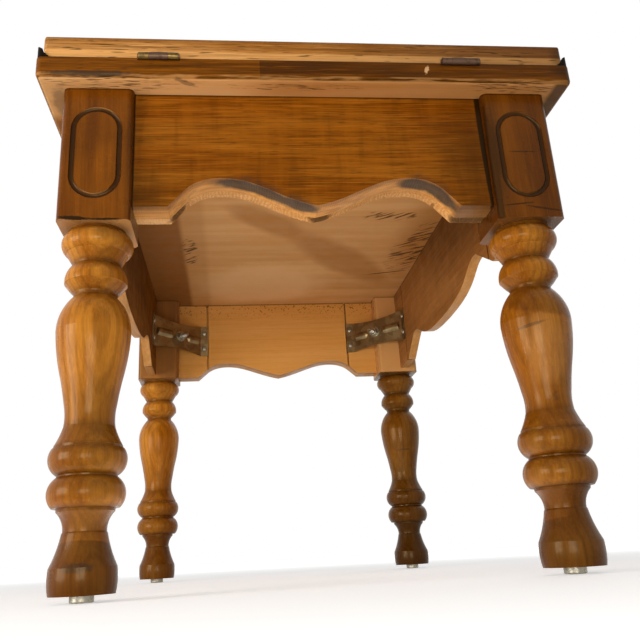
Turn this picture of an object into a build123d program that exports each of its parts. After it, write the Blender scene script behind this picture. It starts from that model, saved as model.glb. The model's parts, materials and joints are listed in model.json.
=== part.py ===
from build123d import *
import math
import os

# Flip-top butler tray table: a low table on four turned legs, with scalloped aprons,
# stamped corner brackets, and a leaf that folds flat onto the fixed top.
# Millimetres. The origin is on the floor, midway between the four leg axes.
# +X is to the right, +Y runs away from the hinged end, and +Z is up.

# Leg positions and overall heights
leg_spacing_x = 415.0
leg_spacing_y = 615.0
glide_height = 6.0
leg_length = 457.5

# Leg: a square post over one turned length
post_side = 66.5
post_height = 139.5
post_edge_radius = 6.0
turning_radius = 33.0

# Each stretch of the turned outline ends at a radius and a height, given as shares of
# turning_radius and of the turned length. The third share is how far an arc bulges,
# outwards if positive, as a share of its chord. Zero is a straight line.
turning_shares = (
    ("foot heel", 0.806, 0.000, 0.0),
    ("foot side", 0.827, 0.066, 0.045),
    ("ankle sweep", 0.564, 0.149, -0.035),
    ("scribed line", 0.542, 0.153, 0.0),
    ("ankle flare", 0.727, 0.203, -0.107),
    ("ankle fillet", 0.736, 0.211, 0.0),
    ("lower ring seat", 0.845, 0.212, 0.0),
    ("lower ring", 0.764, 0.291, 0.23),
    ("ring groove", 0.764, 0.295, 0.0),
    ("middle ring", 0.920, 0.365, 0.215),
    ("collar step", 0.879, 0.366, 0.0),
    ("collar", 0.872, 0.373, 0.0),
    ("collar cone", 0.661, 0.424, -0.03),
    ("neck", 0.679, 0.484, -0.045),
    ("vase flare", 0.858, 0.580, -0.012),
    ("vase belly", 1.000, 0.692, 0.022),
    ("vase shoulder", 0.600, 0.794, 0.0975),
    ("vase groove", 0.615, 0.807, -0.1),
    ("neck ring cone", 0.830, 0.833, 0.03),
    ("neck ring ridge", 0.852, 0.835, 0.0),
    ("neck ring", 0.664, 0.890, 0.12),
    ("upper groove", 0.668, 0.896, 0.0),
    ("top ring cone", 0.845, 0.928, 0.0),
    ("top ring ridge", 0.867, 0.929, 0.0),
    ("top ring", 0.833, 0.989, 0.25),
    ("top cove", 0.788, 0.991, 0.0),
)

# Racetrack groove on the two outward faces of every post
oval_width = 43.0
oval_height = 92.0
oval_groove_radius = 2.6
oval_groove_depth = 2.0

# Nail glide under every foot
glide_radius = 9.8
glide_edge_radius = 1.5
glide_nail_radius = 1.5
glide_nail_length = 18.0

# Aprons, each set back from the outer faces of the posts. The near one is shallower
# and has a second scalloped board glued behind it, a step short of its lower edge.
end_apron_setback = 9.3
end_apron_thickness = 27.0
end_apron_shoulder = 33.0
near_apron_height = 122.5
near_arch_rise = 30.0
far_apron_height = 133.0
far_arch_rise = 24.0
end_drop_gap = 0.5
backing_thickness = 15.0
backing_step = 1.5
side_apron_setback = 16.6
side_apron_thickness = 12.5
side_apron_shoulder = 61.0
side_apron_height = 133.0
side_arch_rise = 31.0
side_drop_gap = 3.5

# Scallop of a lower edge, from a shoulder to the middle: the top of the ramp, the
# crown of the arch, and a point on the swell down to the drop. The first share of a
# pair is of the length from the middle to the shoulder, and the second is of the rise.
end_ramp_shares = (0.90, 0.52)
end_crown_share = 0.65
end_swell_shares = (0.33, 0.60)
end_drop_slope = 0.2
side_ramp_shares = (0.77, 0.94)
side_crown_share = 0.72
side_swell_shares = (0.54, 0.56)
side_drop_slope = 0.02

# Boards of the top
board_thickness = 22.2
top_overhang_side = 23.0
top_overhang_end = 19.0
top_corner_radius = 6.0
top_lower_radius = 5.0
top_upper_radius = 1.5
leaf_inset = 6.5
leaf_gap = 0.4
leaf_corner_radius = 4.0
leaf_upper_radius = 5.0
leaf_lower_radius = 10.0
leaf_chamfer_height = 7.0
leaf_chamfer_depth = 3.0
leaf_easing = 1.2

# Low lips along the long sides of the fixed top, coved to clear the folded leaf
lip_setback = 0.5
lip_outer_height = 12.5
lip_inner_height = 8.0
lip_clearance = 0.7
lip_toe = 5.0

# Butt hinges
hinge_length = 38.0
hinge_spacing = 298.0
hinge_barrel_radius = 3.5
hinge_standoff = 2.0
hinge_plate_width = 20.0
hinge_plate_thickness = 1.2
middle_knuckle_length = 17.4
knuckle_gap = 0.3
pin_radius = 1.25
pin_clearance = 0.15
pin_head_radius = 2.2
pin_head_length = 1.0
pocket_clearance = 0.4
hinge_screw_radius = 1.4
hinge_screw_head_radius = 2.9
hinge_screw_head_depth = 1.1
hinge_screw_length = 15.0
hinge_screw_spacing = 22.0
hinge_screw_setback = 10.0

# Stamped corner brackets, hooked into saw kerfs in the aprons
bracket_drop = 67.5
bracket_height = 54.0
bracket_waist = 44.0
bracket_thickness = 1.8
bracket_post_gap = 7.0
bracket_flange = 13.5
hook_depth = 6.0
kerf_width = 3.0
kerf_depth = 7.0
rib_radius = 9.0
rib_rise = 3.4
rib_start_gap = 13.0
rib_end_gap = 7.0
rib_nose = 6.0

# Hanger bolts through the brackets into the posts
bolt_radius = 4.0
bolt_in_post = 34.0
bolt_point = 5.0
bolt_stub = 20.0
washer_radius = 9.0
washer_thickness = 1.4
nut_across_flats = 13.0
nut_height = 6.5

# Round-head screws in the bracket flanges
bracket_screw_radius = 1.8
bracket_screw_length = 9.0
bracket_screw_spacing = 28.0
bracket_screw_head_radius = 4.0
bracket_screw_head_height = 2.2

# Hidden dowels between the aprons and the fixed top, placed at a share of each span
dowel_radius = 3.0
dowel_depth = 12.0
dowel_share = 0.5

# One overrun serves every cut that runs out past a face
overrun = 2.0

# Places worked out from the sizes above
half_x = leg_spacing_x / 2
half_y = leg_spacing_y / 2
post_half = post_side / 2
turned_length = leg_length - post_height
frame_top = glide_height + leg_length
board_top = frame_top + board_thickness
leaf_bottom = board_top + leaf_gap
top_half_x = half_x + post_half + top_overhang_side
top_half_y = half_y + post_half + top_overhang_end
leaf_half_x = top_half_x - leaf_inset
leaf_length = 2 * top_half_y - leaf_inset
hinge_y = -top_half_y - hinge_standoff
hinge_z = board_top + leaf_gap / 2
end_span = leg_spacing_x - post_side
side_span = leg_spacing_y - post_side
end_outer_y = half_y + post_half - end_apron_setback
end_inner_y = end_outer_y - end_apron_thickness
near_inner_y = end_inner_y - backing_thickness
side_outer_x = half_x + post_half - side_apron_setback
side_inner_x = side_outer_x - side_apron_thickness
bracket_z = frame_top - bracket_drop

# How far a post's inner corner stands from its axis, and from there how far a bracket's
# plate reaches along the aprons, from the corner where their inner faces meet
post_corner = post_half * math.sqrt(2) - post_edge_radius * (math.sqrt(2) - 1)
bracket_reach = ((post_corner + bracket_post_gap) * math.sqrt(2)
                 + side_inner_x - half_x + end_inner_y - half_y)
hook_reach = bracket_reach + bracket_flange
sides = {"left": -1, "right": 1}
ends = {"near": -1, "far": 1}

os.makedirs("parts", exist_ok=True)


def rod(start, end, radius):
    """Round bar from one point to another."""
    axis = Vector(*end) - Vector(*start)
    return extrude(Plane(origin=start, z_dir=axis) * Circle(radius), axis.length)


def cone(start, end, start_radius, end_radius):
    """Cone from one point to another."""
    axis = Vector(*end) - Vector(*start)
    body = Cone(start_radius, end_radius, axis.length,
                align=(Align.CENTER, Align.CENTER, Align.MIN))
    return Plane(origin=start, z_dir=axis) * body


def block(low, high):
    """Box from its lowest corner to its highest."""
    size = [b - a for a, b in zip(low, high)]
    middle = [(a + b) / 2 for a, b in zip(low, high)]
    return Pos(*middle) * Box(*size)


def cut_all(board, tools):
    """Piece less each of the tools."""
    for tool in tools:
        board -= tool
    return board


def to_side(shape, side):
    """Shape made for the left side, mirrored if it belongs on the right."""
    return mirror(shape, Plane.YZ) if side > 0 else shape


def to_end(shape, end):
    """Shape made for the near end, mirrored if it belongs at the far end."""
    return mirror(shape, Plane.XZ) if end > 0 else shape


def turned_outline():
    """Half outline of the turned length, closed along its axis."""
    edges = []
    here = (0, 0)
    for name, radius_share, height_share, bulge_share in turning_shares:
        there = (turning_radius * radius_share, turned_length * height_share)
        if bulge_share:
            edges.append(SagittaArc(here, there, -bulge_share * math.dist(here, there)))
        else:
            edges.append(Line(here, there))
        here = there
    edges.append(Polyline(here, (here[0], turned_length), (0, turned_length), (0, 0)))
    return make_face(edges)


def racetrack_groove():
    """Round-bottomed groove along an upright oval, cut into a face at y = 0 from the front."""
    straight = (oval_height - oval_width) / 2
    bend = oval_width / 2
    path = Wire([
        Line((bend, -straight), (bend, straight)).edge(),
        ThreePointArc((bend, straight), (0, straight + bend), (-bend, straight)).edge(),
        Line((-bend, straight), (-bend, -straight)).edge(),
        ThreePointArc((-bend, -straight), (0, -straight - bend), (bend, -straight)).edge(),
    ])
    path = Plane.XZ.offset(oval_groove_radius - oval_groove_depth) * path
    start = Plane(origin=path @ 0, z_dir=path % 0)
    return sweep(start * Circle(oval_groove_radius), path)


def bolt_place(end):
    """Corner frame of one end: the leg's axis, and how far the bolt's line runs to the plate."""
    inner_y = near_inner_y if end < 0 else end_inner_y
    leg_u = side_inner_x - half_x
    leg_v = inner_y - half_y
    return leg_u, leg_v, (bracket_reach - leg_u - leg_v) / math.sqrt(2)


def from_corner(shape, side, end):
    """Put a shape from the corner frame in its place.

    That frame is drawn for the near left corner. It starts where the inner faces of
    the two aprons meet, with x and y along them and z = 0 at the bracket's middle.
    """
    inner_y = near_inner_y if end < 0 else end_inner_y
    placed = Pos(-side_inner_x, -inner_y, bracket_z) * shape
    return to_end(to_side(placed, side), end)


def bolt_point_at(end, distance):
    """Point on the bolt's line at a distance from the leg's axis."""
    leg_u, leg_v, plate = bolt_place(end)
    step = distance / math.sqrt(2)
    return (leg_u + step, leg_v + step, 0)


def bolt_shape(end):
    """Hanger bolt: a point and wood thread in the post, machine thread through the plate."""
    leg_u, leg_v, plate = bolt_place(end)
    shank = post_corner - bolt_in_post + bolt_point
    body = rod(bolt_point_at(end, shank), bolt_point_at(end, plate + bolt_stub), bolt_radius)
    tip = cone(bolt_point_at(end, shank), bolt_point_at(end, shank - bolt_point),
               bolt_radius, bolt_radius / 4)
    return body + tip


def nut_shape(end):
    """Hexagon nut with its washer, against the room side of the plate."""
    leg_u, leg_v, plate = bolt_place(end)
    seat = plate + bracket_thickness
    base = Plane(origin=bolt_point_at(end, seat), x_dir=(0, 0, 1), z_dir=(1, 1, 0))
    washer = extrude(base * Circle(washer_radius), washer_thickness)
    hexagon = RegularPolygon(nut_across_flats / 2, 6, major_radius=False)
    nut = extrude(base.offset(washer_thickness) * hexagon, nut_height)
    return washer + nut - bolt_shape(end)


def bracket_screws():
    """Four round-head screws of one bracket, in the corner frame."""
    along = bracket_reach + bracket_flange / 2
    screws = []
    for height in (-bracket_screw_spacing / 2, bracket_screw_spacing / 2):
        for u, v in ((0, 1), (1, 0)):
            base = Vector(along * v, along * u, height)
            out = Vector(u, v, 0)
            seat = base + out * bracket_thickness
            top = seat + out * bracket_screw_head_height
            shank = rod(base - out * bracket_screw_length, seat, bracket_screw_radius)
            head = cone(seat, top, bracket_screw_head_radius, bracket_screw_head_radius / 2)
            screws.append(shank + head)
    return screws


def plate_plane():
    """Plane on the back of the slanted plate: x along it, y up, z into the room."""
    middle = bracket_reach / 2
    return Plane(origin=(middle, middle, 0), x_dir=(-1, 1, 0), z_dir=(1, 1, 0))


def rib(radius, start, stop):
    """Bar pressed into one wing of the plate, with a cone for its nose."""
    sunk = rib_rise + bracket_thickness - rib_radius
    back = start + math.copysign(rib_nose, stop - start)
    here, there, end = [plate_plane().from_local_coords(Vector(x, 0, sunk))
                        for x in (start, back, stop)]
    return rod(there, end, radius) + cone(there, here, radius, radius / 2)


def bracket_shape(end):
    """Stamped bracket: bent sheet with hooks, a waisted plate, ribs and holes."""
    far = hook_reach
    near = hook_reach - bracket_thickness
    bend = bracket_reach + bracket_thickness * (math.sqrt(2) - 1)
    plan = Polyline(
        (near, -hook_depth), (near, 0), (bracket_reach, 0), (0, bracket_reach), (0, near),
        (-hook_depth, near), (-hook_depth, far), (bracket_thickness, far),
        (bracket_thickness, bend), (bend, bracket_thickness), (far, bracket_thickness),
        (far, -hook_depth), close=True)
    sheet = extrude(make_face(plan), bracket_height / 2, both=True)
    wing = bracket_reach / math.sqrt(2)
    for edge in (bracket_height / 2, -bracket_height / 2):
        waist = math.copysign(bracket_waist / 2, edge)
        bite = make_face([Line((-wing, edge), (wing, edge)).edge(),
                          ThreePointArc((wing, edge), (0, waist), (-wing, edge)).edge()])
        sheet -= extrude(plate_plane() * bite, bracket_reach / 2, both=True)
    leg_u, leg_v, plate = bolt_place(end)
    bolt_shift = (leg_v - leg_u) / math.sqrt(2)
    room = extrude(plate_plane() * Rectangle(2 * wing, bracket_height), rib_radius)
    for way in (1, -1):
        start = bolt_shift + way * rib_start_gap
        stop = way * (wing - rib_end_gap)
        sheet += rib(rib_radius, start, stop) & room
        sheet -= rib(rib_radius - bracket_thickness, start, stop)
    return cut_all(sheet, bracket_screws()) - bolt_shape(end)


def kerfs():
    """Saw kerfs that take the hooks of one bracket, run right up and down the aprons."""
    start = hook_reach - bracket_thickness
    stop = start + kerf_width
    tall = near_apron_height + far_apron_height
    return (block((start, -kerf_depth, -tall), (stop, overrun, tall))
            + block((-kerf_depth, start, -tall), (overrun, stop, tall)))


def leg(side, end):
    """Leg with its turned length, its post, the two oval grooves and its bores."""
    middle = turned_length + post_height / 2
    post = Pos(0, 0, middle) * Box(post_side, post_side, post_height)
    body = revolve(Plane.XZ * turned_outline(), Axis.Z)
    body += fillet(post.edges().filter_by(Axis.Z), post_edge_radius)
    groove = racetrack_groove()
    body -= Pos(0, -post_half, middle) * groove
    body -= Pos(-post_half, 0, middle) * (Rot(0, 0, -90) * groove)
    body = Pos(-half_x, -half_y, glide_height) * body
    body = to_end(to_side(body, side), end)
    return body - from_corner(bolt_shape(end), side, end) - glide_nail(side, end)


def glide_nail(side, end):
    """Nail of a glide, from the floor up into the foot."""
    foot = (side * half_x, end * half_y, glide_height)
    tip = (side * half_x, end * half_y, glide_height + glide_nail_length)
    return rod(foot, tip, glide_nail_radius)


def glide(side, end):
    """Steel nail glide under one foot."""
    button = Cylinder(glide_radius, glide_height)
    button = fillet(button.edges().group_by(Axis.Z)[0], glide_edge_radius)
    return Pos(side * half_x, end * half_y, glide_height / 2) * button + glide_nail(side, end)


def scalloped_board(span, shoulder, height, rise, drop, shares, slope, thickness):
    """Apron board: its outer face at y = 0, its top edge at z = 0, its length along x."""
    ramp_shares, crown_share, swell_shares = shares
    reach = span / 2 - shoulder
    ramp = (reach * ramp_shares[0], rise * ramp_shares[1] - height)
    crown = (reach * crown_share, rise - height)
    swell = (reach * swell_shares[0], drop + (rise - drop) * swell_shares[1] - height)
    lean = (ramp[0] - reach, ramp[1] + height)
    half_edge = [
        Line((span / 2, -height), (reach, -height)).edge(),
        Line((reach, -height), ramp).edge(),
        Spline(ramp, crown, tangents=[lean, (-1, 0)]).edge(),
        Spline(crown, swell, (0, drop - height), tangents=[(-1, 0), (-1, -slope)]).edge(),
    ]
    other_edge = [mirror(edge, Plane.YZ).edge() for edge in half_edge]
    top = Polyline((span / 2, -height), (span / 2, 0), (-span / 2, 0), (-span / 2, -height))
    return extrude(Plane.XZ * make_face(half_edge + other_edge + top.edges()), -thickness)


def end_board(height, rise, thickness):
    """Scalloped board between the two posts of one end."""
    shares = (end_ramp_shares, end_crown_share, end_swell_shares)
    return scalloped_board(end_span, end_apron_shoulder, height, rise, end_drop_gap,
                           shares, end_drop_slope, thickness)


def side_board():
    """Scalloped board between the two posts of the left side."""
    shares = (side_ramp_shares, side_crown_share, side_swell_shares)
    board = scalloped_board(side_span, side_apron_shoulder, side_apron_height, side_arch_rise,
                            side_drop_gap, shares, side_drop_slope, side_apron_thickness)
    return Pos(-side_outer_x, 0, frame_top) * (Rot(0, 0, -90) * board)


def dowel(x, y):
    """Dowel up through the joint between an apron and the fixed top."""
    return rod((x, y, frame_top - dowel_depth), (x, y, frame_top + dowel_depth), dowel_radius)


def top_dowels():
    """All the dowels, two along each apron."""
    end_y = (end_outer_y + end_inner_y) / 2
    side_x = (side_outer_x + side_inner_x) / 2
    along_x = end_span / 2 * dowel_share
    along_y = side_span / 2 * dowel_share
    return [dowel(x, y) for x, y in
            [(a * along_x, b * end_y) for a in (-1, 1) for b in (-1, 1)]
            + [(a * side_x, b * along_y) for a in (-1, 1) for b in (-1, 1)]]


def hinge_barrel(start, stop, radius):
    """Length of round bar on a hinge's axis, measured from the hinge's middle."""
    return rod((start, hinge_y, hinge_z), (stop, hinge_y, hinge_z), radius)


def plate_screws(way):
    """Countersunk screws of one plate, for a hinge at x = 0.

    As for every piece of a hinge, way is -1 down into the fixed top and 1 up into the leaf.
    """
    face = hinge_z + way * leaf_gap / 2
    y = -top_half_y + hinge_screw_setback
    neck_z = face + way * hinge_screw_head_depth
    tip_z = face + way * hinge_screw_length
    screws = []
    for x in (-hinge_screw_spacing / 2, hinge_screw_spacing / 2):
        head = cone((x, y, face), (x, y, neck_z), hinge_screw_head_radius, hinge_screw_radius)
        screws.append(head + rod((x, y, neck_z), (x, y, tip_z), hinge_screw_radius))
    return screws


def hinge_screws(way):
    """Screws of both hinges on one side of the joint between the boards."""
    return [Pos(side * hinge_spacing / 2, 0, 0) * screw
            for side in sides.values() for screw in plate_screws(way)]


def hinge_plate(way):
    """Plate of a hinge with its knuckles, at x = 0: way is -1 for the fixed one."""
    half = hinge_length / 2
    knuckle = middle_knuckle_length / 2
    face = hinge_z + way * leaf_gap / 2
    back = face + way * hinge_plate_thickness
    body = block((-half, hinge_y, min(face, back)),
                 (half, -top_half_y + hinge_plate_width, max(face, back)))
    ends_apart = [(-half, -knuckle - knuckle_gap), (knuckle + knuckle_gap, half)]
    middle = [(-knuckle, knuckle)]
    own, other = (ends_apart, middle) if way < 0 else (middle, ends_apart)
    for start, stop in other:
        wide = hinge_barrel_radius + knuckle_gap
        body -= hinge_barrel(start - knuckle_gap, stop + knuckle_gap, wide)
    for start, stop in own:
        body += hinge_barrel(start, stop, hinge_barrel_radius)
    bore = pin_radius if way < 0 else pin_radius + pin_clearance
    return cut_all(body, plate_screws(way)) - hinge_barrel(-half, half, bore)


def hinge_pin():
    """Pin of a hinge at x = 0, with a small head past each end of the barrel."""
    half = hinge_length / 2
    pin = hinge_barrel(-half, half, pin_radius)
    pin += hinge_barrel(-half - pin_head_length, -half, pin_head_radius)
    return pin + hinge_barrel(half, half + pin_head_length, pin_head_radius)


def hinge_pocket(way):
    """Room for one plate of a hinge and for its whole barrel, cut into a board."""
    half = hinge_length / 2
    face = hinge_z + way * leaf_gap / 2
    open_end = face - way * overrun
    back = face + way * hinge_plate_thickness
    pocket = block((-half, -top_half_y - overrun, min(open_end, back)),
                   (half, -top_half_y + hinge_plate_width, max(open_end, back)))
    reach = half + pin_head_length + pocket_clearance
    return pocket + hinge_barrel(-reach, reach, hinge_barrel_radius + pocket_clearance)


def cut_for_hinges(board, way):
    """Board with the pockets and screw holes of both hinges."""
    pockets = [Pos(side * hinge_spacing / 2, 0, 0) * hinge_pocket(way)
               for side in sides.values()]
    return cut_all(board, pockets + hinge_screws(way))


def fixed_top():
    """Fixed board with eased edges, hinge pockets and dowel holes."""
    board = Box(2 * top_half_x, 2 * top_half_y, board_thickness)
    board = fillet(board.edges().filter_by(Axis.Z), top_corner_radius)
    board = fillet(board.edges().group_by(Axis.Z)[0], top_lower_radius)
    board = fillet(board.edges().group_by(Axis.Z)[-1], top_upper_radius)
    board = Pos(0, 0, frame_top + board_thickness / 2) * board
    return cut_for_hinges(cut_all(board, top_dowels()), -1)


def round_edge(profile, x):
    """Leaf profile with its two corners at x rounded, more below than above."""
    for y, radius in ((0, leaf_lower_radius), (board_thickness, leaf_upper_radius)):
        profile = fillet(profile.vertices().sort_by_distance((x, y, 0))[0], radius)
    return profile


def flip_leaf():
    """Folded leaf: rounded sides and free end, and a cut, chamfered hinged end."""
    half = leaf_half_x
    near = -leaf_length / 2
    far = leaf_length / 2
    across = make_face(Polyline((-half, 0), (half, 0), (half, board_thickness),
                                (-half, board_thickness), close=True))
    across = round_edge(round_edge(across, -half), half)
    along = make_face(Polyline(
        (near, leaf_chamfer_height), (near + leaf_chamfer_depth, 0), (far, 0),
        (far, board_thickness), (near + leaf_easing, board_thickness),
        (near, board_thickness - leaf_easing), close=True))
    along = round_edge(along, far)
    board = extrude(RectangleRounded(2 * half, leaf_length, leaf_corner_radius), board_thickness)
    board &= extrude(Plane.XZ * across, leaf_length / 2, both=True)
    board &= extrude(Plane.YZ * along, half, both=True)
    board = Pos(0, -top_half_y + leaf_length / 2, leaf_bottom) * board
    return cut_for_hinges(board, 1)


def tray_lip():
    """Low lip along the left side of the fixed top, coved where the leaf's edge comes down."""
    outer = -top_half_x + lip_setback
    end = top_half_y - lip_setback
    inner = -leaf_half_x + lip_toe
    section = make_face(Polyline(
        (outer, 0), (inner, 0), (inner, lip_inner_height), (-leaf_half_x, lip_inner_height),
        (outer, lip_outer_height), close=True))
    outline = RectangleRounded(-2 * outer, 2 * end, top_corner_radius - lip_setback)
    body = extrude(Plane.XZ * section, end, both=True) & extrude(outline, lip_outer_height)
    cove_x = -leaf_half_x + leaf_lower_radius
    cove_z = leaf_gap + leaf_lower_radius
    body -= rod((cove_x, -top_half_y, cove_z), (cove_x, top_half_y, cove_z),
                leaf_lower_radius + lip_clearance)
    return Pos(0, 0, board_top) * body


def save(pieces, name):
    """Write one node: a single piece, or a list of separate ones."""
    if isinstance(pieces, list):
        pieces = Compound(children=[solid for piece in pieces for solid in piece.solids()])
    export_step(pieces, f"parts/{name}.step")


corners = [(side, end) for end in ends.values() for side in sides.values()]
corner_kerfs = [from_corner(kerfs(), side, end) for side, end in corners]
corner_screws = [from_corner(screw, side, end)
                 for side, end in corners for screw in bracket_screws()]
dowels = top_dowels()
frame_cuts = corner_kerfs + corner_screws + dowels

near_apron = Pos(0, -end_outer_y, frame_top) * end_board(
    near_apron_height, near_arch_rise, end_apron_thickness)
near_backing = Pos(0, -end_inner_y, frame_top) * end_board(
    near_apron_height - backing_step, near_arch_rise, backing_thickness)
far_apron = Pos(0, end_outer_y, frame_top) * (Rot(0, 0, 180) * end_board(
    far_apron_height, far_arch_rise, end_apron_thickness))

save(fixed_top(), "fixed_top")
save(flip_leaf(), "flip_leaf")
save(cut_all(near_apron, dowels), "near_apron")
save(cut_all(near_backing, frame_cuts), "near_apron_backing")
save(cut_all(far_apron, frame_cuts), "far_apron")
for side_name, side in sides.items():
    save(to_side(tray_lip(), side), f"tray_lip_{side_name}")
    save(cut_all(to_side(side_board(), side), frame_cuts), f"side_apron_{side_name}")
    shift = Pos(side * hinge_spacing / 2, 0, 0)
    save(shift * hinge_plate(-1), f"hinge_fixed_plate_{side_name}")
    save(shift * hinge_plate(1), f"hinge_moving_plate_{side_name}")
    save(shift * hinge_pin(), f"hinge_pin_{side_name}")
    for end_name, end in ends.items():
        where = f"{end_name}_{side_name}"
        save(leg(side, end), f"leg_{where}")
        save(glide(side, end), f"glide_{where}")
        save(from_corner(bracket_shape(end), side, end), f"corner_bracket_{where}")
        save(from_corner(bolt_shape(end), side, end), f"hanger_bolt_{where}")
        save(from_corner(nut_shape(end), side, end), f"bolt_nut_{where}")
save(corner_screws, "bracket_screws")
save(hinge_screws(-1), "hinge_screws_fixed")
save(hinge_screws(1), "hinge_screws_leaf")
save(dowels, "top_dowels")
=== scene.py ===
import json
import math

import bpy
import numpy as np
from mathutils import Matrix, Vector


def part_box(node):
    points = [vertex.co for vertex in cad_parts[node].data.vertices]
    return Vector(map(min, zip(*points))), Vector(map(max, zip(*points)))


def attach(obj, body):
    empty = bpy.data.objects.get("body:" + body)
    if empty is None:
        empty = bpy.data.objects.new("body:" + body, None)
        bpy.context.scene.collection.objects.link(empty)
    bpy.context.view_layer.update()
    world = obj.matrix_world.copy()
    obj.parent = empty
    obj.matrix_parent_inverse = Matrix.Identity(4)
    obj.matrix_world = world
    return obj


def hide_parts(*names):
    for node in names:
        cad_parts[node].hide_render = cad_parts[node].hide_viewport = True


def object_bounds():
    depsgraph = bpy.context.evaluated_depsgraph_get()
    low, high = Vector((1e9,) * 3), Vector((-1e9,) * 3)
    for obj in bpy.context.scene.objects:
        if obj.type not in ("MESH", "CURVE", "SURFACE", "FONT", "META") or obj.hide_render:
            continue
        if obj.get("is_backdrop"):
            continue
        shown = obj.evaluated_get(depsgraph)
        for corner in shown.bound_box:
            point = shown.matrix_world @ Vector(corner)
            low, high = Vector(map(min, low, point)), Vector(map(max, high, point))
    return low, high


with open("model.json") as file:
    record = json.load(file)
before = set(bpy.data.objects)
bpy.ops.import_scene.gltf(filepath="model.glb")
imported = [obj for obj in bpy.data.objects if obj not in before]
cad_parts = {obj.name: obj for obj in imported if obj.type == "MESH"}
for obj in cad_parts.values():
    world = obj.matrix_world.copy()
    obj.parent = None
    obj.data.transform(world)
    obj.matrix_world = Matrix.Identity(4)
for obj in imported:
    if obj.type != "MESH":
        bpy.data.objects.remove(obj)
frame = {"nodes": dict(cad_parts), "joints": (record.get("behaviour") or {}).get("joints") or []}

bl_info = {
    "name": "Butler Tray Table",
    "version": (1, 0, 0),
    "blender": (4, 5, 0),
    "location": "View3D > Sidebar > Tray Table",
    "description": "Finishes, fasteners and studio for a flip-top butler tray table",
    "category": "Object",
}

MM = 0.001
SIDES = {"left": -1, "right": 1}
ENDS = {"near": -1, "far": 1}
CORNERS = {f"{end}_{side}": (SIDES[side], ENDS[end]) for end in ENDS for side in SIDES}
ALONG_X, ALONG_Y, ALONG_Z = (0, 0, 0), (0, 0, -math.pi / 2), (0, math.pi / 2, 0)


def linear(code):
    """Linear colour with full alpha from an sRGB hex code, by the standard sRGB curve."""
    parts = [int(code[i:i + 2], 16) / 255 for i in (1, 3, 5)]
    return tuple(c / 12.92 if c <= 0.04045 else ((c + 0.055) / 1.055) ** 2.4 for c in parts) + (1.0,)


def blend(first, second, share):
    """Colour part of the way from one colour to another."""
    return tuple(a + (b - a) * share for a, b in zip(first, second))


def colour_prop(name, description, code):
    """A colour that the user can change, with its default given as an sRGB hex code."""
    return bpy.props.FloatVectorProperty(name=name, description=description, subtype="COLOR", size=4,
                                         min=0, max=1, default=linear(code))


def length_prop(name, description, default):
    """A length that the user can change, with its default given in millimetres."""
    return bpy.props.FloatProperty(name=name, description=description, subtype="DISTANCE", unit="LENGTH",
                                   default=default * MM, min=0, precision=4)


def power_prop(name, description, default):
    """A lamp's power that the user can change, in watts."""
    return bpy.props.FloatProperty(name=name, description=description, subtype="POWER", unit="POWER",
                                   default=default, min=0)


class TableSizes(bpy.types.PropertyGroup):
    """Sizes of the fasteners. The boards, legs and brackets come from the frame."""
    bolt_pitch: length_prop("Bolt pitch", "Thread pitch of the hanger bolts", 1.25)
    bolt_thread_depth: length_prop("Bolt thread depth", "Depth of the hanger bolts' thread", 0.7)
    bolt_point: length_prop("Bolt point", "Length of the hanger bolts' wood points", 5.0)
    washer_radius: length_prop("Washer radius", "Outer radius of the washers", 9.0)
    washer_thickness: length_prop("Washer thickness", "Thickness of the washers", 1.4)
    nut_across_flats: length_prop("Nut across flats", "Width of the hexagon nuts", 13.0)
    nut_height: length_prop("Nut height", "Height of the hexagon nuts", 6.5)
    hook_depth: length_prop("Hook depth", "How far a bracket's hooks go into the kerfs", 6.0)
    bracket_flange: length_prop("Bracket flange", "Width of a bracket's flanges", 13.5)
    bracket_thickness: length_prop("Bracket sheet", "Thickness of the brackets' sheet", 1.8)
    bracket_screw_spacing: length_prop("Bracket screw spacing", "Between a flange's two screws", 28.0)
    bracket_screw_head: length_prop("Bracket screw head", "Radius of the round heads", 4.0)
    bracket_screw_rise: length_prop("Bracket screw rise", "Height of the round heads", 2.2)
    bracket_screw_shank: length_prop("Bracket screw shank", "Radius of the shanks", 1.8)
    bracket_screw_length: length_prop("Bracket screw length", "Length below the flange", 9.0)
    bracket_screw_slot: length_prop("Bracket screw slot", "Half width of a cross recess's arms", 0.45)
    hinge_screw_head: length_prop("Hinge screw head", "Radius of the countersunk heads", 2.9)
    hinge_screw_shank: length_prop("Hinge screw shank", "Radius of the shanks", 1.4)
    hinge_screw_depth: length_prop("Hinge screw head depth", "Depth of the countersunk heads", 1.1)
    hinge_screw_length: length_prop("Hinge screw length", "Whole length of the hinge screws", 15.0)
    hinge_screw_slot: length_prop("Hinge screw slot", "Half width of a cross recess's arms", 0.3)
    hinge_screw_spacing: length_prop("Hinge screw spacing", "Between a plate's two screws", 22.0)
    hinge_screw_setback: length_prop("Hinge screw setback", "From the board's end to the screws", 10.0)
    leaf_gap: length_prop("Leaf gap", "Between the folded leaf and the fixed top", 0.4)


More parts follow.
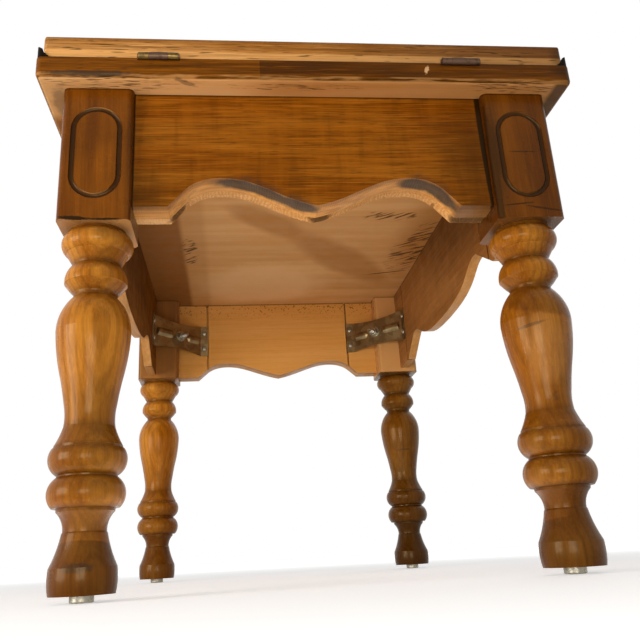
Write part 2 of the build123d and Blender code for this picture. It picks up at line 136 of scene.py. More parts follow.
class TableFinishes(bpy.types.PropertyGroup):
    """Colours of the wood and metal finishes."""
    leg_deep: colour_prop("Leg, deep", "Stain where it lies thickest on the turnings", "#4c2505")
    leg_mid: colour_prop("Leg, middle", "Stained wood of the turnings", "#96550c")
    leg_light: colour_prop("Leg, light", "Worn golden wood of the turnings", "#e09a3a")
    post_deep: colour_prop("Post, deep", "Dark grain of the posts", "#381802")
    post_mid: colour_prop("Post, middle", "Stained wood of the posts", "#582a02")
    apron_deep: colour_prop("Apron, deep", "Dark grain of the aprons", "#301501")
    apron_mid: colour_prop("Apron, middle", "Stained wood of the aprons", "#723902")
    top_deep: colour_prop("Board, deep", "Dark grain of the fixed top's edges and face", "#301502")
    top_mid: colour_prop("Board, middle", "Stained wood of the fixed top", "#462102")
    leaf_deep: colour_prop("Leaf, deep", "Dark grain of the leaf", "#4a2206")
    leaf_mid: colour_prop("Leaf, middle", "Stained wood of the leaf", "#aa6e2e")
    leaf_light: colour_prop("Leaf, light", "Light streaks of the leaf", "#dfa868")
    raw_deep: colour_prop("Raw wood, deep", "Dark grain of the unstained wood", "#a06428")
    raw_mid: colour_prop("Raw wood, middle", "Unstained wood", "#d39a5c")
    raw_light: colour_prop("Raw wood, light", "Light streaks of the unstained wood", "#e6b57f")
    # The lip's near-black is partly its stain and partly painted shade.
    lip_stain_and_shade: colour_prop("Lip", "Almost black stain of the lips", "#0b0503")
    # Shade serves as painted shade in joints, gaps, crevices and recesses, and as the real dark of cracks,
    # knots and the stain in grooves.
    shade_and_dark_marks: colour_prop("Shade", "Dark of the joints and crevices", "#120802")
    soot: colour_prop("Scuff", "Grey-black rub marks and stains", "#26221f")
    brass: colour_prop("Hinge brass", "Aged brass of the hinges", "#6a542b")
    brass_dark: colour_prop("Hinge brass, dark", "Tarnish on the hinges", "#3b2d19")
    knuckle: colour_prop("Hinge knuckle", "Brown tarnish of the turning knuckles", "#5a4334")
    bracket: colour_prop("Bracket", "Bronze-coloured plating of the brackets", "#97825a")
    bracket_dark: colour_prop("Bracket, dark", "Worn plating of the brackets", "#6a563a")
    steel: colour_prop("Steel", "Plated steel of the bolts, nuts and screws", "#aaa596")
    steel_dark: colour_prop("Steel, dark", "Tarnish on the fasteners", "#7a7160")


class TableStudio(bpy.types.PropertyGroup):
    """Camera, lamps and floor."""
    lens: bpy.props.FloatProperty(name="Lens", description="Focal length in millimetres on a 36 mm sensor",
                                  default=41.25, min=1)
    camera_place: bpy.props.FloatVectorProperty(
        name="Camera place", description="Where the camera stands", subtype="TRANSLATION", unit="LENGTH",
        size=3, default=(-0.0856, -0.9567, 0.0251))
    camera_turn: bpy.props.FloatVectorProperty(
        name="Camera turn", description="Pan right, tilt up and roll", subtype="EULER", unit="ROTATION",
        size=3, default=[math.radians(a) for a in (6.466, 19.26, -3.128)])
    camera_shift: bpy.props.FloatVectorProperty(
        name="Camera shift", description="Lens shift of the framing", size=2, default=(0.0194, -0.0296))
    key_power: power_prop("Key lamp", "Soft lamp at the front left, a little below the top", 18.5)
    low_power: power_prop("Low lamp", "Soft lamp near the floor in front", 8.5)
    panel_power: power_prop("Floor panel", "Weak soft panel under the table", 1.3)
    back_power: power_prop("Back lamp", "Soft lamp behind, at the right", 6.0)
    sky: bpy.props.FloatProperty(name="Room light", description="Even light from all round",
                                 default=0.21, min=0)
    floor: colour_prop("Floor", "Pale studio floor", "#eeeeee")
    floor_dark: colour_prop("Floor, darker", "Soft mottling of the floor", "#e2e2e2")


# Finishes


# A mask eases in and out, so that no layer of a finish has a hard border.
EASE = {"interpolation_type": "SMOOTHSTEP"}

# Length of one wave of Blender's ring and band textures at a scale of 1.
WAVE = math.pi / 10

# How far one step of a board's seed moves its grain along x, y and z, in millimetres.
SEED_STEP = (97.0, 3.1, 5.3)

# The rays that see white surroundings. All others see the even room light.
WHITE_RAYS = ("Is Camera Ray", "Is Glossy Ray", "Is Transmission Ray")


class Nodes:
    """A node tree under construction."""

    def __init__(self, tree):
        self.tree = tree
        tree.nodes.clear()

    def add(self, kind, sockets=None, out=0, **options):
        """Add one node, set its options, fill its sockets from values or other nodes, return an output."""
        node = self.tree.nodes.new("ShaderNode" + kind)
        for name, value in options.items():
            setattr(node, name, value)
        for key, value in (sockets or {}).items():
            if isinstance(value, bpy.types.NodeSocket):
                self.tree.links.new(value, node.inputs[key])
            else:
                node.inputs[key].default_value = value
        return node.outputs[out] if len(node.outputs) else node

    def join(self, masks, **options):
        """One mask from several, each joined to the ones before it by the same operation."""
        result = masks[0]
        for mask in masks[1:]:
            result = self.add("Math", {0: result, 1: mask}, **options)
        return result

    def overlap(self, *masks):
        """Where several masks hold together: their product."""
        return self.join(masks, operation="MULTIPLY", use_clamp=True)

    def most(self, *masks):
        """Largest of several masks at each point."""
        return self.join(masks, operation="MAXIMUM")

    def white_rays(self):
        """Mask of the rays that see white surroundings."""
        rays = self.add("LightPath").node
        return self.most(*[rays.outputs[name] for name in WHITE_RAYS])


class Finish(Nodes):
    """A material under construction, with the coordinates that its layers start from."""

    def __init__(self, name):
        self.material = bpy.data.materials.new(name)
        self.material.use_nodes = True
        super().__init__(self.material.node_tree)
        self.place = self.add("TexCoord", out="Object")
        self.normal = self.place.node.outputs["Normal"]

    def grain_space(self, turn, seed, lean=0.0):
        """Object coordinates in millimetres with the grain along x, moved so that no two boards match."""
        turned = self.add("Mapping", {"Vector": self.place, "Rotation": turn, "Scale": (1000, 1000, 1000)})
        return self.add("Mapping", {"Vector": turned, "Location": [step * seed for step in SEED_STEP],
                                    "Rotation": (0, lean, lean * 0.7)})

    def streaks(self, space, long, across, detail=2.0, rough=0.5):
        """Noise drawn out along the grain: long and across are the sizes of its marks in millimetres."""
        squeezed = self.add("Mapping", {"Vector": space, "Scale": (1 / long, 1 / across, 1 / across)})
        return self.add("TexNoise", {"Vector": squeezed, "Scale": 1.0, "Detail": detail,
                                     "Roughness": rough})

    def rings(self, space, pith, pitch, wobble):
        """Growth rings round a pith line at (y, z) millimetres, one every pitch millimetres.

        The space is squeezed along the grain so that the rings wander slowly down the board.
        """
        scale = WAVE / pitch
        moved = self.add("Mapping", {"Vector": space, "Location": (0, -pith[0] * scale, -pith[1] * scale),
                                     "Scale": (scale * 0.06, scale, scale)})
        return self.add("TexWave", {"Vector": moved, "Scale": 1.0, "Distortion": wobble, "Detail": 2.0,
                                    "Detail Scale": 1.1, "Detail Roughness": 0.55},
                        out="Fac", wave_type="RINGS", rings_direction="X", wave_profile="SIN")

    def staves(self, length, width, offset, dark):
        """Tones of the staves that a board is glued up from, in metres: each is dark or pale as a whole."""
        tones = self.add("TexBrick", {"Vector": self.place, "Color1": (dark, dark, dark, 1),
                                      "Color2": (0.8, 0.8, 0.8, 1), "Mortar": (0, 0, 0, 1), "Scale": 1.0,
                                      "Mortar Size": 0.0003, "Mortar Smooth": 1.0, "Bias": 0.0,
                                      "Brick Width": length, "Row Height": width}, offset=offset)
        return self.add("RGBToBW", {0: tones})

    def saw_marks(self, space, pitch, wander, detail):
        """Mask of saw marks on a board's lower edge, across the grain, one every pitch millimetres."""
        bands = self.add("TexWave", {"Vector": space, "Scale": WAVE / pitch, "Distortion": wander,
                                     "Detail": detail}, out="Fac", wave_type="BANDS", bands_direction="X")
        return self.overlap(bands, self.lower_edge())

    def lay(self, under, over, where, amount=1.0):
        """One colour over another: as much as the mask says, times an amount."""
        share = self.add("Math", {0: where, 1: amount}, operation="MULTIPLY", use_clamp=True)
        return self.add("Mix", {0: share, 6: under, 7: over}, out=2, data_type="RGBA")

    def layers(self, colour, rows):
        """A colour under several others, laid on in turn.

        A row holds a colour, a value, the value's levels where the colour starts and where it is
        full, and an amount.
        """
        for over, value, low, high, amount in rows:
            where = self.add("MapRange", {0: value, 1: low, 2: high}, **EASE)
            colour = self.lay(colour, over, where, amount)
        return colour

    def mark(self, colour, colours, rows):
        """A colour under its marks: rows of the mark's colour by name, an amount, and its patches."""
        for tint, amount, shapes in rows:
            colour = self.lay(colour, getattr(colours, tint), self.patches(shapes), amount)
        return colour

    def past(self, index, place, start, full):
        """Mask along one object axis, from a start to its full amount in millimetres from a place."""
        along = self.add("SeparateXYZ", {0: self.place}, out=index)
        return self.add("MapRange", {0: along, 1: place + start * MM, 2: place + full * MM}, **EASE)

    def facing(self, index, way, start=0.55, full=0.85):
        """Mask of the faces that look one way along an object axis, from a start to its full amount."""
        lean = self.add("SeparateXYZ", {0: self.normal}, out=index)
        return self.add("MapRange", {0: lean, 1: way * start, 2: way * full}, **EASE)

    def lower_edge(self):
        """Mask of a board's sawn lower edge, along the arches too."""
        return self.facing(2, -1, 0.35, 0.6)

    def patch(self, centre, radii, turn=(0, 0, 0), ragged=0.35, grit=9.0, core=0.55):
        """Soft ragged ellipsoid mask: centre, radii and the size of its frayed edge in millimetres.

        core is the share of its radius where it is full.
        """
        local = self.add("Mapping", {"Vector": self.place, "Location": [c * MM for c in centre],
                                     "Rotation": turn, "Scale": [r * MM for r in radii]},
                         vector_type="TEXTURE")
        reach = self.add("VectorMath", {0: local}, out="Value", operation="LENGTH")
        fray = self.add("TexNoise", {"Vector": self.place, "Scale": 1 / (grit * MM), "Detail": 3.0,
                                     "Roughness": 0.6})
        frayed = self.add("Math", {0: fray, 1: 2 * ragged, 2: reach}, operation="MULTIPLY_ADD")
        return self.add("MapRange", {0: frayed, 1: 1.0 + ragged, 2: core + ragged}, **EASE)

    def patches(self, shapes):
        """The most of several patches."""
        return self.most(*[self.patch(**shape) for shape in shapes])

    def wood_grain(self, space, deep, mid, light, pith, pitch, wobble, ring, streak, pores):
        """Colour and height of a piece of wood: broad bands, growth rings, streaks and dark pores.

        The streaks run in two sizes: broad and long, and fine. Pores are about 0.1 mm wide on the
        real wood and are drawn ten times as wide, to show.
        """
        fine = self.streaks(space, 70, 1.7, 3.0, 0.65)
        pore = self.add("MapRange", {0: self.streaks(space, 14, 1.0, 1.0), 1: 0.60, 2: 0.72}, **EASE)
        colour = self.layers(mid, (
            (light, self.streaks(space, 240, 24), 0.35, 0.68, 0.4),
            (deep, self.rings(space, pith, pitch, wobble), 0.45, 1.0, ring),
            (deep, self.streaks(space, 170, 5.0), 0.50, 0.34, streak * 0.55),
            (deep, fine, 0.50, 0.34, streak),
            (light, fine, 0.52, 0.68, streak * 0.8)))
        colour = self.lay(colour, deep, pore, pores)
        height = self.add("Math", {0: pore, 1: -0.8, 2: fine}, operation="MULTIPLY_ADD")
        return colour, height

    def close(self, colour, height, rough, depth, **sockets):
        """Close the material: principled shader, roughness varied by a soft noise, bump from the height."""
        cloud = self.add("TexNoise", {"Vector": self.place, "Scale": 1 / (22 * MM), "Detail": 3.0})
        varied = self.add("MapRange", {0: cloud, 1: 0.3, 2: 0.7, 3: rough[0], 4: rough[1]}, **EASE)
        bump = self.add("Bump", {"Height": height, "Distance": depth * MM, "Strength": 0.8})
        shader = self.add("BsdfPrincipled", {"Base Color": colour, "Roughness": varied, "Normal": bump,
                                             **sockets})
        self.add("OutputMaterial", {"Surface": shader})
        return self.material


def dress(node, material):
    """Give a node of the frame its finish."""
    for slot in frame["nodes"][node].material_slots:
        slot.material = material


# Surfaces


def skin(rows, columns, loop):
    """Faces of a grid of points, as arrays: columns run round, and rows run along the axis.

    With loop the last row joins the first. Without it a pole closes each end, the first pole
    after the grid's own points and the second after that.
    """
    row, column = np.meshgrid(np.arange(rows if loop else rows - 1), np.arange(columns), indexing="ij")
    above, beside = (row + 1) % rows, (column + 1) % columns
    quads = np.stack([row * columns + column, row * columns + beside, above * columns + beside,
                      above * columns + column], axis=-1).reshape(-1, 4)
    if loop:
        return quads.tolist()
    ring = np.arange(columns)
    after = (ring + 1) % columns
    first, last = rows * columns, rows * columns + 1
    top = (rows - 1) * columns
    foot = np.stack([np.full(columns, first), after, ring], axis=-1)
    head = np.stack([np.full(columns, last), top + ring, top + after], axis=-1)
    return quads.tolist() + foot.tolist() + head.tolist()


def circle(count):
    """Angles all the way round, evenly spaced."""
    return np.linspace(0, 2 * np.pi, count, endpoint=False)


def revolve_grid(radius, height, angle, loop=False):
    """Points at a radius and height for each row and angle: x = r cos a, y = r sin a, z = height.

    radius is a grid of rows by angles, and height is one value a row or such a grid too.
    """
    height = np.broadcast_to(height if np.ndim(height) == 2 else np.asarray(height)[:, None], radius.shape)
    points = np.stack([radius * np.cos(angle), radius * np.sin(angle), height], axis=-1).reshape(-1, 3)
    if not loop:
        poles = np.array([[0, 0, height[0].mean()], [0, 0, height[-1].mean()]])
        points = np.concatenate([points, poles])
    return points, skin(radius.shape[0], radius.shape[1], loop)


# A screw's point: its length, and how blunt it ends. The root of its thread, as a share of the shank.
SCREW_POINT, SCREW_BLUNT, SCREW_ROOT = 3 * MM, 0.12, 0.78


def screw_shank(angle, length, top, rows, shank, pitch, thread):
    """Radius and height of a threaded shank, from its point at z = -length up to z = top.

    r = shank (root + thread times a saw wave of z over pitch less the turn), drawn in at the point.
    """
    z = np.linspace(-length, top, rows)[:, None]
    wave = np.abs(2 * ((z / pitch - angle / (2 * np.pi)) % 1) - 1)
    taper = np.clip((z + length) / SCREW_POINT + SCREW_BLUNT, 0, 1)
    return shank * (SCREW_ROOT + thread * wave) * taper, np.broadcast_to(z, (rows, len(angle)))


def cross_recess(radius, angle, head, slot, fade):
    """Depth of a cross recess over a screw's head, from 0 to 1.

    It is full within a slot's half width of either arm's middle line, and fades out with r / head.
    """
    across = radius * np.minimum(np.abs(np.cos(angle)), np.abs(np.sin(angle)))
    arm = np.clip(1.4 - across / slot, 0, 1) * np.clip(1.15 - fade * radius / head, 0, 1)
    return np.clip(2.2 * arm, 0, 1)


def pan_head_screw(head, rise, shank, length, slot):
    """Round-head screw with a cross recess, its seat at z = 0 and its head above.

    The head is a flattened dome, z = rise (1 - (r / head)^2.6), on a short upright rim, less the
    cross recess. Below the seat is the shank.
    """
    angle = circle(48)
    low, z = screw_shank(angle, length, -0.05 * MM, 64, shank, 1.2 * MM, 0.22)
    rim_share, rim_height = [0.97, 1.0, 1.0], [0.0, 0.03, 0.10]
    share = np.linspace(0.985, 0.03, 22)[:, None]
    radius = share * head * np.ones_like(angle)
    dome = rise * (1 - share ** 2.6) - 0.55 * rise * cross_recess(radius, angle, head, slot, 1.7)
    rim = [np.outer(column, np.ones_like(angle)) for column in (rim_share, rim_height)]
    return revolve_grid(np.concatenate([low, rim[0] * head, radius]),
                        np.concatenate([z, rim[1] * rise, np.maximum(dome, 0.0)]), angle)


def countersunk_screw(head, depth, shank, length, slot):
    """Countersunk screw, its flat head at z = 0 and its shank below, with a cross recess.

    The head's side is a cone, r from shank to head over its depth, and its face is flat less the
    cross recess.
    """
    angle = circle(40)
    low, z = screw_shank(angle, length, -depth * 1.05, 60, shank, 1.1 * MM, 0.2)
    share = np.concatenate([[1.0], np.linspace(0.975, 0.03, 18)])[:, None]
    radius = share * (head - 0.03 * MM) * np.ones_like(angle)
    face = np.where(share < 1, -0.02 * MM, -0.08 * MM)
    face = face - 0.6 * depth * cross_recess(radius, angle, head, slot, 1.6)
    return revolve_grid(np.concatenate([low, radius]), np.concatenate([z, face]), angle)


def threaded_bolt(radius, length, point, pitch, depth):
    """Hanger bolt along z from its point at z = 0: a helical thread with blunt crests.

    r = core + depth times a clipped triangle wave of (z / pitch - turn), drawn in over the
    point at one end and over a short chamfer at the other.
    """
    angle = circle(40)
    rows_in_a_turn = 9
    z = np.linspace(0, length, int(length / pitch * rows_in_a_turn))
    wave = np.abs(2 * ((z[:, None] / pitch - angle / (2 * np.pi)) % 1) - 1)
    thread = radius - depth + depth * np.clip(1.5 * wave - 0.2, 0, 1)
    limit = radius * np.minimum(np.clip(0.25 + 0.75 * z / point, 0, 1),
                                np.clip(0.78 + (length - z) / (4 * radius), 0, 1))
    return revolve_grid(np.minimum(thread, limit[:, None]), z, angle)


def hexagon_nut(across, height, bore):
    """Hexagon nut along z from z = 0, with both its ends chamfered at 30 degrees.

    Its side is r = min(a / cos(turn from the middle of a flat), a chamfer cone), so the cone
    cuts the corners to the curved edges of a real nut, and the row of points closes down the bore.
    """
    angle = circle(96)
    flat = across / 2 / np.cos(angle % (np.pi / 3) - np.pi / 6)
    z = height * np.array([0.0, 0.02, 0.06, 0.12, 0.2, 0.5, 0.8, 0.88, 0.94, 0.98, 1.0])
    near_end = np.minimum(z, height - z)
    start, slope = 0.985, 1.73
    cone = across / 2 * start + near_end * slope
    outer = np.minimum(flat[None, :], cone[:, None])
    inner_z = height * np.array([1.0, 0.95, 0.05, 0.0])
    inner_r = bore * np.array([1.12, 1.01, 1.01, 1.12])
    radius = np.concatenate([outer, np.outer(inner_r, np.ones_like(angle))])
    return revolve_grid(radius, np.concatenate([z, inner_z]), angle, loop=True)


def washer_ring(outer, bore, thickness):
    """Flat washer along z from z = 0, its section a rectangle with rounded corners."""
    angle = circle(72)
    turn = circle(24) + np.pi / 24
    box = np.maximum(np.abs(np.cos(turn)), np.abs(np.sin(turn))) ** 0.85
    r = (outer + bore) / 2 + (outer - bore) / 2 * np.clip(np.cos(turn) / box, -1, 1)
    z = thickness / 2 + thickness / 2 * np.clip(np.sin(turn) / box, -1, 1)
    return revolve_grid(np.outer(r, np.ones_like(angle)), z, angle, loop=True)


def upright(axis, across):
    """Turning matrix whose columns are an across direction, its partner, and the axis."""
    axis, across = np.asarray(axis, float), np.asarray(across, float)
    axis /= np.linalg.norm(axis)
    across /= np.linalg.norm(across)
    return np.stack([across, np.cross(axis, across), axis], axis=1)


def place(shapes):
    """One mesh from (points, faces, turning matrix, place) rows: whole arrays, faces renumbered."""
    points, faces, count = [], [], 0
    for local, local_faces, turn, where in shapes:
        points.append(local @ turn.T + np.asarray(where))
        faces += [[i + count for i in face] for face in local_faces]
        count += len(local)
    return np.concatenate(points), faces


def add_object(name, data):
    """New object in the scene."""
    made = bpy.data.objects.new(name, data)
    bpy.context.scene.collection.objects.link(made)
    return made


# Edges of a piece that turn more than this stay sharp.
SHARP = math.radians(35)


def piece(name, shapes, material, body, slot, *nodes):
    """Make a finished piece of placed shapes, let it ride on its body, and hide the nodes it stands for."""
    points, faces = place(shapes)
    mesh = bpy.data.meshes.new(name)
    mesh.from_pydata(points.tolist(), [], faces)
    mesh.polygons.foreach_set("use_smooth", np.ones(len(mesh.polygons), bool))
    mesh.set_sharp_from_angle(angle=SHARP)
    mesh.materials.append(material)
    made = add_object(name, mesh)
    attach(made, body)
    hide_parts(*nodes)


# Materials

# A thin satin varnish, worn: a low reflection, so that the stain keeps its depth of colour.
# Its amber tint warms what it reflects.
AMBER = (1.0, 0.65, 0.20, 1.0)
VARNISH = {"Specular IOR Level": 0.16, "Specular Tint": AMBER, "Coat Weight": 0.02, "Coat Roughness": 0.2}
GLOSS = {**VARNISH, "Coat Weight": 0.08, "Coat Roughness": 0.14}
DRY = {"Specular IOR Level": 0.08, "Specular Tint": AMBER}


# Height of a post, and the bend and half the straight run of the ovals in it.
POST_HEIGHT = 139.5 * MM
OVAL_BEND, OVAL_STRAIGHT = 21.5 * MM, 24.5 * MM

# The stain is full this near an oval's line and gone this far from it.
OVAL_FULL, OVAL_GONE = 1.2 * MM, 3.4 * MM

# A post's outer faces lie past these distances from the leg's axis, in millimetres.
FACE_START, FACE_FULL = 28, 29


def oval_stain(finish, centre, side, end):
    """Mask of the stain that lies in a post's two racetrack grooves.

    The distance to the racetrack line is | length(u, max(|v| - straight, 0)) - bend |, with u
    across the face from the post's axis and v up it from the oval's middle.
    """
    xyz = finish.add("SeparateXYZ", {0: finish.place}).node.outputs
    v = xyz[2]
    for operation, value in (("SUBTRACT", centre.z), ("ABSOLUTE", 0.0), ("SUBTRACT", OVAL_STRAIGHT),
                             ("MAXIMUM", 0.0)):
        v = finish.add("Math", {0: v, 1: value}, operation=operation)
    masks = []
    for across, depth, way in ((0, 1, end), (1, 0, side)):
        u = finish.add("Math", {0: xyz[across], 1: centre[across]}, operation="SUBTRACT")
        pair = finish.add("CombineXYZ", {0: u, 1: v})
        reach = finish.add("VectorMath", {0: pair}, out="Value", operation="LENGTH")
        off = finish.add("Math", {0: reach, 1: OVAL_BEND}, operation="SUBTRACT")
        off = finish.add("Math", {0: off}, operation="ABSOLUTE")
        line = finish.add("MapRange", {0: off, 1: OVAL_GONE, 2: OVAL_FULL}, **EASE)
        face = finish.past(depth, centre[depth], way * FACE_START, way * FACE_FULL)
        masks.append(finish.overlap(line, face))
    return finish.most(*masks)


# How dark the turnings are up their length, darkest in the grooves and towards the foot: heights as shares
# of it, and a darkness at each.
TURNING_DARKNESS = (
    (0.000, 0.92), (0.050, 0.88), (0.110, 0.92), (0.146, 0.95), (0.151, 1.00), (0.156, 0.95),
    (0.200, 0.92), (0.211, 1.00), (0.222, 0.58), (0.280, 0.62), (0.293, 1.00), (0.303, 0.64),
    (0.350, 0.54), (0.368, 0.85), (0.380, 0.50), (0.424, 0.70), (0.440, 0.42), (0.560, 0.16),
    (0.680, 0.05), (0.770, 0.20), (0.800, 0.90), (0.815, 0.30), (0.860, 0.05), (0.893, 0.92),
    (0.905, 0.30), (0.940, 0.08), (0.975, 0.25), (0.990, 0.95), (1.000, 0.80),
)


def leg_material(corner, colours, seed, tone, inner, under_raw, pith, marks=()):
    """Turned hardwood, stained and satin varnished: rings cut to cathedrals, dark stain in the grooves."""
    side, end = CORNERS[corner]
    low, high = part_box(f"leg_{corner}")
    post_foot = high.z - POST_HEIGHT
    centre = Vector(((low.x + high.x) / 2, (low.y + high.y) / 2, high.z - POST_HEIGHT / 2))
    finish = Finish(f"turned_hardwood_{corner}")
    space = finish.grain_space(ALONG_Z, seed, 0.035)
    beside = (centre.y / MM + pith[1] + SEED_STEP[1] * seed, -centre.x / MM - pith[0] + SEED_STEP[2] * seed)
    turned, height = finish.wood_grain(
        space, colours.leg_deep, colours.leg_mid, colours.leg_light, pith=beside, pitch=7.0, wobble=1.8,
        ring=0.24, streak=0.22, pores=0.14)
    post = finish.wood_grain(space, colours.post_deep, colours.post_mid, colours.leg_mid, pith=(30, 24),
                             pitch=9.0, wobble=3.0, ring=0.15, streak=0.2, pores=0.12)[0]
    up = finish.add("SeparateXYZ", {0: finish.place}, out=2)
    ramp = finish.add("ValToRGB", {0: finish.add("MapRange", {0: up, 1: low.z, 2: post_foot})})
    stops = ramp.node.color_ramp.elements
    while len(stops) < len(TURNING_DARKNESS):
        stops.new(1.0)
    for stop, (share, dark) in zip(stops, TURNING_DARKNESS):
        stop.position = share
        stop.color = (dark, dark, dark, 1)
    colour = finish.lay(turned, colours.post_deep, ramp, 0.82)
    blotch = finish.add("TexNoise", {"Vector": finish.place, "Scale": 1 / (60 * MM), "Detail": 2.0})
    colour = finish.layers(colour, ((post, up, post_foot - 0.6 * MM, post_foot + 0.4 * MM, 1.0),
                                    (colours.post_deep, blotch, 0.5, 0.75, 0.35)))
    colour = finish.add("HueSaturation", {"Color": colour, "Value": tone})
    # Inner faces of the posts: paler raw wood on the far legs, and on the near legs darker, painted shade.
    inside = finish.overlap(finish.most(finish.facing(0, -side), finish.facing(1, -end)),
                            finish.past(2, post_foot, 0, 1))
    colour = finish.lay(colour, colours.raw_mid if end > 0 else colours.post_deep, inside, inner)
    under = finish.overlap(finish.facing(2, -1), finish.past(2, post_foot, -1, -0.2))
    colour = finish.lay(colour, colours.raw_mid, under, under_raw)
    colour = finish.lay(colour, colours.shade_and_dark_marks, oval_stain(finish, centre, side, end), 0.8)
    colour = finish.mark(colour, colours, marks)
    # Painted shade along the top of the post, under the top.
    colour = finish.lay(colour, colours.shade_and_dark_marks, finish.past(2, high.z, -2.4, -0.8), 0.6)
    return finish.close(colour, height, rough=(0.24, 0.40), depth=0.10, **GLOSS)


# Height of the fixed top's lower face, in millimetres like all places of marks.
UNDERSIDE = 463.5

# Border of the broad diagonal bands of painted shadow across it.
SHADOW_BAND = {"ragged": 0.2, "grit": 60, "core": 0.5}


